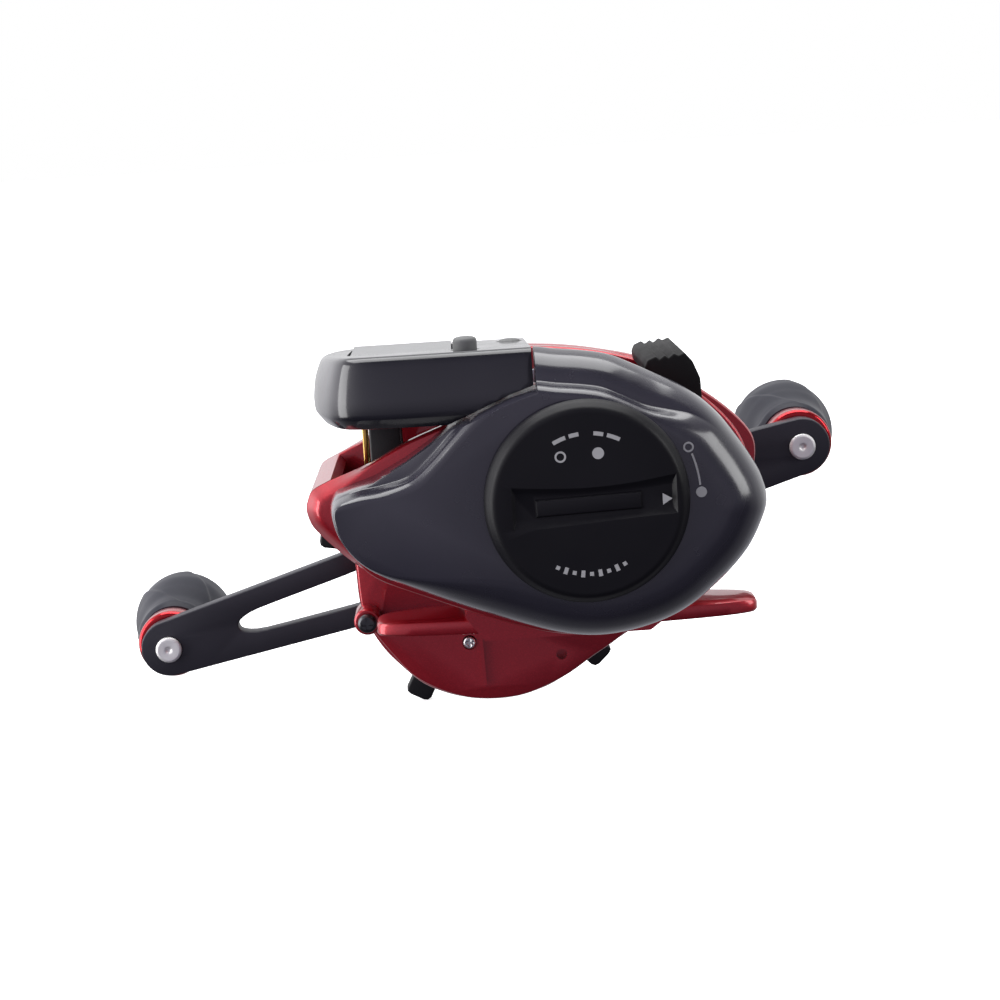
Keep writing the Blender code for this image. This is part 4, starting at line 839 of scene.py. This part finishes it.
settle(turned("guide_rail_rod", rod([(0.95, -13.0), (0.95, 12.9)]), RAIL, M["steel"], "body", "guide_rail", "steel", seg=32, r=0.15))

wx, wz = WORM
carriage = [(-22.9, 32.4), (-27.5, 32.4), (-27.5, 24.4), (-29.3, 22.8), (-31.6, 22.7), (-32.5, 21.4), (-32.5, 19.9),
            (-31.4, 18.7), (-29.0, 18.3), (-28.9, 16.6), (-27.6, 15.1), (-26.0, 14.3), (-23.0, 14.3), (-21.2, 15.3),
            (-20.0, 17.2), (-19.8, 19.6), (-20.6, 21.8), (-22.6, 23.6)]
g = prism("line_guide_block", carriage, -3.4, 3.4, M["satin"], "guide", "line_guide", "satin_black")
bevel(g, 0.35, 3, 20)
for t in (cyl(2.75, -5, 5, WORM, 64), cyl(1.25, -5, 5, RAIL, 32), tool_box(-33.0, -20.0, -1.7, 1.7, 25.4, 30.8), cyl(1.7, 13.0, 17.5, (wx, 0.0), 32, "Z")):
    boolean(g, t)
resmooth(g, 35)
settle(g)
ins = link("line_guide_ring", box_bm(-28.5, -27.8, -2.7, 2.7, 24.5, 31.7), M["brass"], "guide", "line_guide_insert", "brass")
boolean(ins, tool_box(-30.0, -26.0, -1.5, 1.5, 25.6, 30.6))
bevel(ins, 0.2, 3, 50)
resmooth(ins, 40)
settle(ins)
settle(turned("pawl_cap_round", rod([(2.0, 13.2), (2.3, 13.5), (2.3, 14.0)]), (wx, 0.0), M["dark_steel"], "guide", "pawl_cap", "steel", seg=40, axis="Z", r=0.1))

# ============================================================ thumb bar
bar = [(12.6, 38.7), (13.0, 39.6), (14.2, 40.1), (14.7, 39.6), (15.5, 40.2), (16.0, 39.7), (16.8, 40.4), (17.4, 40.0),
       (18.3, 40.4), (19.4, 39.1), (20.4, 36.6), (20.5, 33.8), (19.7, 31.9), (18.3, 31.4), (16.6, 33.2), (14.4, 35.2), (12.8, 37.4)]
tb = prism("thumb_bar_grip", bar, -11.2, 11.2, M["matte"], "thumb", "thumb_bar", "satin_black")
bevel(tb, 0.22, 3, 18)
boolean(tb, cyl(0.9, 9.0, 14.2, (18.0, 32.4), 32), "UNION")
resmooth(tb, 35)
settle(tb)

# ============================================================ counter housing
hood_plan = [(-3.6, -18.9), (-10.0, -19.2), (-18.0, -19.3), (-25.5, -18.9), (-29.3, -18.0), (-31.6, -16.0),
             (-33.2, -12.4), (-34.6, -7.0), (-35.2, -1.0), (-35.1, 5.0), (-34.0, 11.0), (-32.4, 14.6), (-29.8, 16.7),
             (-25.5, 17.7), (-18.0, 18.0), (-10.0, 17.9), (-3.6, 17.6)]


def hood_row(d, z, tilt=0.0):
    pts = inset(hood_plan, lambda i: 0.0 if hood_plan[i][0] == -3.6 else d)
    out = []
    for (x, y), (px, py) in zip(pts, hood_plan):
        if px == -3.6:
            x, y = -3.6, py - math.copysign(d, py)
        out.append((x, y))
    dense = fine(out, 6, (0, len(out) - 1))
    dense = dense[:(len(out) - 1) * 6 + 1]
    return [(x, y, z - tilt * (y + 17.0)) for x, y in dense]


HOOD = [(33.2, 1.3, 0), (33.3, 1.14, 0), (34.55, 0.22, 0), (34.75, 0.1, 0), (35.4, 0.02, 0), (36.4, 0.0, 0), (37.6, 0.14, 0), (38.8, 0.34, 0.0),
        (39.8, 0.56, 0.012), (40.8, 0.82, 0.03), (41.6, 1.06, 0.042), (42.2, 1.26, 0.052), (42.55, 1.45, 0.055), (42.85, 1.75, 0.057), (43.08, 2.15, 0.058), (43.18, 2.6, 0.058), (43.2, 3.1, 0.058)]
hood = link("counter_housing_shell", loft_bm([hood_row(d, z, t) for z, d, t in HOOD]), M["gloss"], "body", "counter_housing", "gloss_black")
boolean(hood, link("tool", prism_bm([(-15.8, 30.0), (-15.8, 33.2), (-11.3, 35.2), (-7.0, 37.0), (-3.0, 38.25), (-3.0, 30.0)], -30, 30), None, None, smooth=False))
boolean(hood, cyl(16.6, -13.0, 13.0, SPOOL, 96))
boolean(hood, tool_box(-31.0, -14.5, -13.6, 13.2, 30.0, 40.2))
boolean(hood, tool_box(-28.6, -15.4, -8.4, 8.4, 39.0, 41.2))


def well(x0, x1, y0, y1, z0, z1, r, grow=0.0):
    pts = []
    for cx, cy, a0 in ((x1 - r, y1 - r, 0), (x0 + r, y1 - r, 90), (x0 + r, y0 + r, 180), (x1 - r, y0 + r, 270)):
        for k in range(7):
            a = rad(a0 + 15 * k)
            pts.append((cx + r * math.cos(a), cy + r * math.sin(a)))
    return pts


boolean(hood, prism_z("tool", well(-29.6, -14.4, -9.4, 9.4, 0, 0, 0.5), 40.9, 50.0))
BUTTONS = {"mode_button": (-12.7, -12.0, 44.8, 3.0, "mode"), "reset_button": (-6.0, 6.0, 42.3, 2.2, "reset")}
for bx, by, bz, deep, bb in BUTTONS.values():
    boolean(hood, cyl(2.05, bz - deep - 1.2, bz + 4.0, (bx, by), 48, "Z"))
bevel(hood, 0.12, 2, 55)
resmooth(hood, 30)
for p in hood.data.polygons:
    if p.normal.z > 0.99:
        p.use_smooth = False
settle(hood)
for nm, (bx, by, bz, deep, bb) in BUTTONS.items():
    settle(turned(nm + "_dome", rod([(1.7, bz - deep), (1.7, bz - 0.55), (1.55, bz - 0.25), (1.1, bz - 0.06), (0.5, bz)]), (bx, by), M["rubber_grey"], bb, nm, "button_rubber", seg=48, axis="Z", r=0.2))

# generic count digits on the display
SEG = {"0": "abcdef", "8": "abcdefg", "1": "bc", "2": "abged"}


def digit(cx, cy, ch, h=3.6, w=2.0, t=0.42):
    """Seven-segment figure; up on the display is towards the front of the reel."""
    out = []
    z = 40.5
    pos = {"a": (-h / 2, 0, 1), "g": (0, 0, 1), "d": (h / 2, 0, 1), "f": (-h / 4, -w / 2, 0), "b": (-h / 4, w / 2, 0), "e": (h / 4, -w / 2, 0), "c": (h / 4, w / 2, 0)}
    for sname in SEG[ch]:
        ux_, uy_, flat = pos[sname]
        L = (w if flat else h / 2) / 2 - 0.14
        if flat:
            pts = [(cx + ux_, cy + uy_ - L), (cx + ux_ + t / 2, cy + uy_ - L + t / 2), (cx + ux_ + t / 2, cy + uy_ + L - t / 2), (cx + ux_, cy + uy_ + L), (cx + ux_ - t / 2, cy + uy_ + L - t / 2), (cx + ux_ - t / 2, cy + uy_ - L + t / 2)]
        else:
            pts = [(cx + ux_ - L, cy + uy_), (cx + ux_ - L + t / 2, cy + uy_ + t / 2), (cx + ux_ + L - t / 2, cy + uy_ + t / 2), (cx + ux_ + L, cy + uy_), (cx + ux_ + L - t / 2, cy + uy_ - t / 2), (cx + ux_ - L + t / 2, cy + uy_ - t / 2)]
        out.append(pts)
    return out


dg = bmesh.new()
for cy, ch in ((-4.2, "0"), (-1.2, "0"), (1.8, "0")):
    for pts in digit(-22.0, cy, ch):
        lo = [dg.verts.new((x, y, 40.5)) for x, y in pts]
        hi = [dg.verts.new((x, y, 40.54)) for x, y in pts]
        dg.faces.new(lo)
        dg.faces.new(list(reversed(hi)))
        for i in range(6):
            dg.faces.new((lo[i], hi[i], hi[(i + 1) % 6], lo[(i + 1) % 6]))
settle(link("display_figures", dg, M["segment"], "body", None, "lcd", smooth=False))

# ============================================================ star drag
dx, dz = DRIVE
R_TIP = 27.0
star_outline = []
for k in range(5):
    c = math.radians(26.0) + k * 2 * math.pi / 5
    shape = [(8.2, -0.45), (9.0, -0.37), (10.2, -0.305), (12.0, -0.245), (14.5, -0.185), (17.5, -0.138), (R_TIP - 5.5, -0.103), (R_TIP - 4.0, -0.095), (R_TIP - 0.8, -0.084),
             (R_TIP - 0.2, -0.07), (R_TIP, -0.045), (R_TIP, 0.045), (R_TIP - 0.2, 0.07), (R_TIP - 0.8, 0.084), (R_TIP - 4.0, 0.095),
             (R_TIP - 5.5, 0.103), (17.5, 0.138), (14.5, 0.185), (12.0, 0.245), (10.2, 0.305), (9.0, 0.37), (8.2, 0.45)]
    star_outline += [(dx + r * math.cos(c + t), dz + r * math.sin(c + t)) for r, t in shape]
star = prism("star_wheel", star_outline, 29.0, 31.2, M["star"], "star", "star_drag", "black_metal")
bevel(star, 0.4, 3, 50)
boolean(star, turned("tool", rod([(6.4, 28.7), (7.2, 29.2), (7.2, 31.6), (5.6, 33.4)]), DRIVE, seg=72, r=0.3), "UNION")
boolean(star, cyl(2.85, 27.0, 35.0, DRIVE, 48))
resmooth(star, 35)
settle(star)

# ============================================================ handle
A = math.radians(14.3)
ux, uz = math.cos(A), math.sin(A)
HALF = 55.0


def along(s, w):
    return (dx + s * ux - w * uz, dz + s * uz + w * ux)


def half_width(s):
    return 4.65 + 2.85 * (1 - abs(s) / HALF)


edge = []
stations = [HALF * k / 20 for k in range(20, -21, -1)]
for s in stations:
    edge.append((s, half_width(s)))
for k in range(1, 20):
    t = math.pi / 2 + math.pi * k / 20
    edge.append((-HALF + 4.65 * math.cos(t), 4.65 * math.sin(t)))
for s in reversed(stations):
    edge.append((s, -half_width(s)))
for k in range(1, 20):
    t = -math.pi / 2 + math.pi * k / 20
    edge.append((HALF + 4.65 * math.cos(t), 4.65 * math.sin(t)))
hd = prism("crank_arm", [along(s, w) for s, w in edge], 0.0, 2.8, M["handle"], "crank", "handle", "black_metal")
for side in (-1, 1):
    win = []
    for s, k in ((HALF - 12.2, 0.12), (HALF - 12.35, 0.34), (HALF - 12.8, 0.56), (HALF - 13.6, 0.75), (HALF - 14.7, 0.9), (HALF - 16.2, 0.98), (HALF - 20, 1.0), (HALF - 25, 1.0), (HALF - 31, 1.0),
                 (HALF - 36.5, 1.0), (HALF - 38.6, 0.94), (HALF - 40.2, 0.78), (HALF - 41.2, 0.52), (HALF - 41.5, 0.2)):
        win.append((side * s, k * (half_width(s) - 3.55)))
    win += [(s, -w) for s, w in reversed(win)]
    boolean(hd, link("tool", prism_bm([along(s, w) for s, w in win], -2.0, 5.0), None, None, smooth=False))
bevel(hd, 0.32, 3, 40)
boolean(hd, cyl(2.65, -2, 6, DRIVE, 48))
for side in (-1, 1):
    boolean(hd, cyl(1.35, -2, 6, along(side * HALF, 0.0), 32))
bm = bmesh.new()
bm.from_mesh(hd.data)
for k in range(-26, 27):
    if abs(k) < 8:
        continue
    p = along(float(k), 0.0)
    bmesh.ops.bisect_plane(bm, geom=bm.verts[:] + bm.edges[:] + bm.faces[:], plane_co=Vector((p[0], 0, p[1])) * MM, plane_no=Vector((ux, 0, uz)), dist=1e-8)
for v in bm.verts:
    x, z = v.co.x / MM - dx, v.co.z / MM - dz
    q = abs(x * ux + z * uz)
    t = min(1.0, max(0.0, (q - 9.0) / 16.0))
    t = t * t * (3 - 2 * t)
    v.co.y += (34.6 + (32.0 - 34.6) * t) * MM
bm.to_mesh(hd.data)
bm.free()
resmooth(hd, 28)
settle(hd)

hub = 34.6 + 2.8
nut = prism("crank_nut_hex", [(dx + 5.2 * math.cos(math.pi * k / 3), dz + 5.2 * math.sin(math.pi * k / 3)) for k in range(6)], hub + 0.3, hub + 3.4, M["steel"], "crank", "handle_nut", "steel")
bevel(nut, 0.3, 3, 40)
boolean(nut, cyl(2.65, 30, 50, DRIVE, 48))
resmooth(nut, 35)
settle(nut)
ret_s = along(11.5, 0.0)
ret = prism("nut_cover_plate", [along(-6.6, 3.2), along(-3.4, 6.4), along(3.4, 6.4), along(7.0, 4.4), along(13.2, 3.0), along(14.6, 0.0),
                                along(13.2, -3.0), along(7.0, -4.4), along(3.4, -6.4), along(-3.4, -6.4), along(-6.6, -3.2)], hub + 0.3, hub + 4.6, M["star"], "crank", "nut_retainer", "black_metal")
bevel(ret, 0.5, 3, 20)
for t in (cyl(5.6, 30, hub + 3.7, DRIVE, 48), cyl(3.0, 30, hub + 8, DRIVE, 48), cyl(1.1, 30, 50, ret_s, 24), cyl(2.0, hub + 3.4, 50, ret_s, 32)):
    boolean(ret, t)
resmooth(ret, 35)
settle(ret)
rs = turned("nut_cover_screw", rod([(0.8, hub + 0.5), (0.8, hub + 3.7), (1.7, hub + 3.7), (1.7, hub + 4.4), (1.2, hub + 4.8)]), ret_s, M["steel"], "crank", "retainer_screw", "steel", seg=40, r=0.12)
cross_recess(rs, ret_s, hub + 4.8, 1.0, 0.5)
resmooth(rs, 30)
settle(rs)

# ============================================================ knobs
for name, side, body in (("front", -1, "knob_a"), ("rear", 1, "knob_b")):
    c = along(side * HALF, 0.0)
    far = 32.0 + 2.8
    settle(turned("rivet_" + name, [(0.0, 31.42), (0.3, 31.4), (0.5, 31.18), (0.72, 31.12), (1.75, 31.1), (2.08, 31.22), (2.15, 31.4), (2.15, 31.7), (1.2, 31.7), (1.2, far + 0.4), (1.2, far + 20.0), (0.0, far + 20.0)],
                  c, M["rivet"], "crank", "knob_axle_" + name, "steel", seg=64, r=0.05, sharp=50))
    settle(turned("collar_" + name, [(1.45, far + 0.3), (5.2, far + 0.3), (5.6, far + 0.8), (5.6, far + 3.8), (5.1, far + 4.5), (1.45, far + 4.5)],
                  c, M["anod"], body, "knob_collar_" + name, "red_anodised", seg=96, r=0.3))
    k0 = far + 4.8
    ys = [0.0, 1.2, 4.0, 7.5, 11.5, 14.0, 17.0, 19.2, 20.3, 20.6]
    rs_ = [5.6, 6.3, 6.7, 7.7, 8.5, 8.5, 7.8, 6.0, 3.4, 0.9]
    rows = []
    SEGS = 180
    rows.append([(c[0] + 5.2 * math.cos(2 * math.pi * k / SEGS), k0, c[1] + 5.2 * math.sin(2 * math.pi * k / SEGS)) for k in range(SEGS)])
    NY = 64
    for q in range(NY + 1):
        u = q / NY
        y = 20.6 * (u if u < 0.7 else u)
        r0 = monotone(ys, rs_, y)
        fade = min(1.0, max(0.0, (y - 0.6) / 1.2)) * min(1.0, max(0.0, (19.6 - y) / 3.0))
        swirl = math.radians(105) * (y / 20.6) ** 0.8
        row = []
        for k in range(SEGS):
            th = 2 * math.pi * k / SEGS
            ph = ((th - swirl * (1 if side > 0 else 1)) / (2 * math.pi / 5)) % 1.0
            step = ph if ph < 0.93 else 0.93 * (1 - (ph - 0.93) / 0.07)
            hollow_ = 0.35 * math.sin(math.pi * min(1.0, ph / 0.93)) if ph < 0.93 else 0.0
            r = r0 * (1 - fade * (0.034 * step + 0.03 * hollow_))
            row.append((c[0] + r * math.cos(th), k0 + y, c[1] + r * math.sin(th)))
        rows.append(row)
    kb = link("grip_" + name, loft_bm(rows), M["knob"], body, "knob_" + name, "satin_black", sharp=60)
    boolean(kb, cyl(1.45, k0 - 2, k0 + 16.2, c, 32))
    resmooth(kb, 45)
    settle(kb)

# ============================================================ carried-over nodes
CARRIED = {"display_window": "window", "lcd_panel": "lcd", "counter_base": "satin", "circuit_board": "board",
           "battery_contact": "brass", "battery_cap_seal": "rubber", "pinion_gear": "brass", "drive_gear": "brass",
           "pawl": "brass", "level_wind_drive_gear": "nylon", "worm_gear": "nylon", "drag_washer": "carbon", "clutch_cam": "star"}
for nname, ob in frame["nodes"].items():
    ob.data.materials.clear()
    ob.data.materials.append(M[CARRIED.get(nname, "steel")])
    for p in ob.data.polygons:
        p.material_index = 0

# ============================================================ floor, light, camera
FLOOR_Z = -19.35 * MM
fm, fnt, fb = new_mat("studio_floor")
fvec = obj_coord(fnt)
fnt.links.new(ramp(fnt, noise(fnt, fvec, 3.0), [(0.3, (0.86, 0.86, 0.865)), (0.7, (0.88, 0.88, 0.885))]), fb.inputs["Base Color"])
fb.inputs["Roughness"].default_value = 0.9
fb.inputs["Specular IOR Level"].default_value = 0.1
fb.inputs["Emission Color"].default_value = (1.0, 1.0, 1.0, 1.0)
fb.inputs["Emission Strength"].default_value = 0.72
bm = bmesh.new()
FR = 9.0
ringv = [bm.verts.new((FR * math.cos(2 * math.pi * k / 96), FR * math.sin(2 * math.pi * k / 96), FLOOR_Z)) for k in range(96)]
bm.faces.new(ringv)
me = bpy.data.meshes.new("floor")
bm.to_mesh(me)
bm.free()
floor = bpy.data.objects.new("floor", me)
me.materials.append(fm)
scene.collection.objects.link(floor)
floor.visible_diffuse = False
floor.visible_glossy = False
floor.visible_shadow = False

world = bpy.data.worlds.new("studio")
scene.world = world
world.use_nodes = True
wn = world.node_tree
bg = wn.nodes["Background"]
tc = wn.nodes.new("ShaderNodeTexCoord")
sx = wn.nodes.new("ShaderNodeSeparateXYZ")
wn.links.new(tc.outputs["Generated"], sx.inputs["Vector"])
# dim and slightly blue towards the front of the set (-Y), bright behind, dark
# below, with a soft rise of light towards the left (-X)
set_fac = maprange(wn, sx.outputs["Y"], -1.0, 1.0, 0.0, 1.0)
around = ramp(wn, set_fac, [(0.0, (0.44, 0.42, 0.52)), (0.14, (0.22, 0.215, 0.27)), (0.36, (0.08, 0.08, 0.095)),
                            (0.60, (0.50, 0.50, 0.52)), (0.85, (0.95, 0.95, 0.97))])
height = ramp(wn, maprange(wn, sx.outputs["Z"], -1.0, 1.0, 0.0, 1.0),
              [(0.0, (0.30, 0.30, 0.32)), (0.30, (0.42, 0.42, 0.45)), (0.47, (0.80, 0.80, 0.80)), (0.55, (1.0, 1.0, 1.0))])
tone = wn.nodes.new("ShaderNodeMix")
tone.data_type = "RGBA"
tone.blend_type = "MULTIPLY"
tone.inputs["Factor"].default_value = 1.0
wn.links.new(around, tone.inputs["A"])
wn.links.new(height, tone.inputs["B"])
left = wn.nodes.new("ShaderNodeMath")
left.operation = "POWER"
wn.links.new(maprange(wn, sx.outputs["X"], 0.0, -1.0, 0.0, 1.0), left.inputs[0])
left.inputs[1].default_value = 1.9
fade = wn.nodes.new("ShaderNodeMath")
fade.operation = "MULTIPLY"
wn.links.new(left.outputs[0], fade.inputs[0])
wn.links.new(maprange(wn, sx.outputs["Z"], -0.45, 0.05, 0.0, 1.0), fade.inputs[1])
glow = wn.nodes.new("ShaderNodeVectorMath")
glow.operation = "SCALE"
glow.inputs[0].default_value = (1.45, 1.42, 1.5)
wn.links.new(fade.outputs[0], glow.inputs["Scale"])
total = wn.nodes.new("ShaderNodeVectorMath")
total.operation = "ADD"
wn.links.new(tone.outputs["Result"], total.inputs[0])
wn.links.new(glow.outputs[0], total.inputs[1])
wn.links.new(total.outputs[0], bg.inputs["Color"])
bg2 = wn.nodes.new("ShaderNodeBackground")
bg2.inputs["Color"].default_value = (1.0, 1.0, 1.0, 1.0)
bg2.inputs["Strength"].default_value = 1.0
lp = wn.nodes.new("ShaderNodeLightPath")
mix = wn.nodes.new("ShaderNodeMixShader")
wn.links.new(lp.outputs["Is Camera Ray"], mix.inputs["Fac"])
wn.links.new(bg.outputs["Background"], mix.inputs[1])
wn.links.new(bg2.outputs["Background"], mix.inputs[2])
wn.links.new(mix.outputs["Shader"], wn.nodes["World Output"].inputs["Surface"])


def softbox(name, loc, target, size, power, colour=(1, 1, 1)):
    li = bpy.data.lights.new(name, "AREA")
    li.shape = "RECTANGLE"
    li.size, li.size_y = size
    li.energy = power
    li.color = colour
    ob = bpy.data.objects.new(name, li)
    ob.location = Vector(loc)
    d = Vector(target) - Vector(loc)
    ob.rotation_euler = d.to_track_quat("-Z", "Y").to_euler()
    scene.collection.objects.link(ob)
    ob.visible_camera = False
    return ob


mid = (-0.01, 0.0, 0.02)
softbox("key_top", (0.0, 0.10, 0.75), mid, (0.9, 0.7), 7.5)
softbox("side_left", (-0.62, -0.15, 0.10), mid, (0.36, 0.70), 3.2)
softbox("side_right", (0.60, -0.20, 0.26), mid, (0.30, 0.36), 1.5)

a, e, ro = math.radians(-0.84), math.radians(10.28), math.radians(-3.59)
back = Vector((math.sin(a) * math.cos(e), -math.cos(a) * math.cos(e), math.sin(e)))
fwd = -back
right = fwd.cross(Vector((0, 0, 1))).normalized()
up = right.cross(fwd)
Rv = right * math.cos(ro) + up * math.sin(ro)
Uv = -right * math.sin(ro) + up * math.cos(ro)
cam_data = bpy.data.cameras.new("camera")
cam_data.sensor_width = 36.0
cam_data.lens = 2034.0 / 1000.0 * 36.0
cam_data.clip_start = 0.01
cam_data.clip_end = 50.0
cam = bpy.data.objects.new("camera", cam_data)
scene.collection.objects.link(cam)
cam.matrix_world = Matrix(((Rv.x, Uv.x, back.x, -13.3 * MM), (Rv.y, Uv.y, back.y, -297.6 * MM), (Rv.z, Uv.z, back.z, 72.9 * MM), (0, 0, 0, 1)))
scene.camera = cam
scene.view_settings.view_transform = "Standard"

bpy.context.view_layer.update()
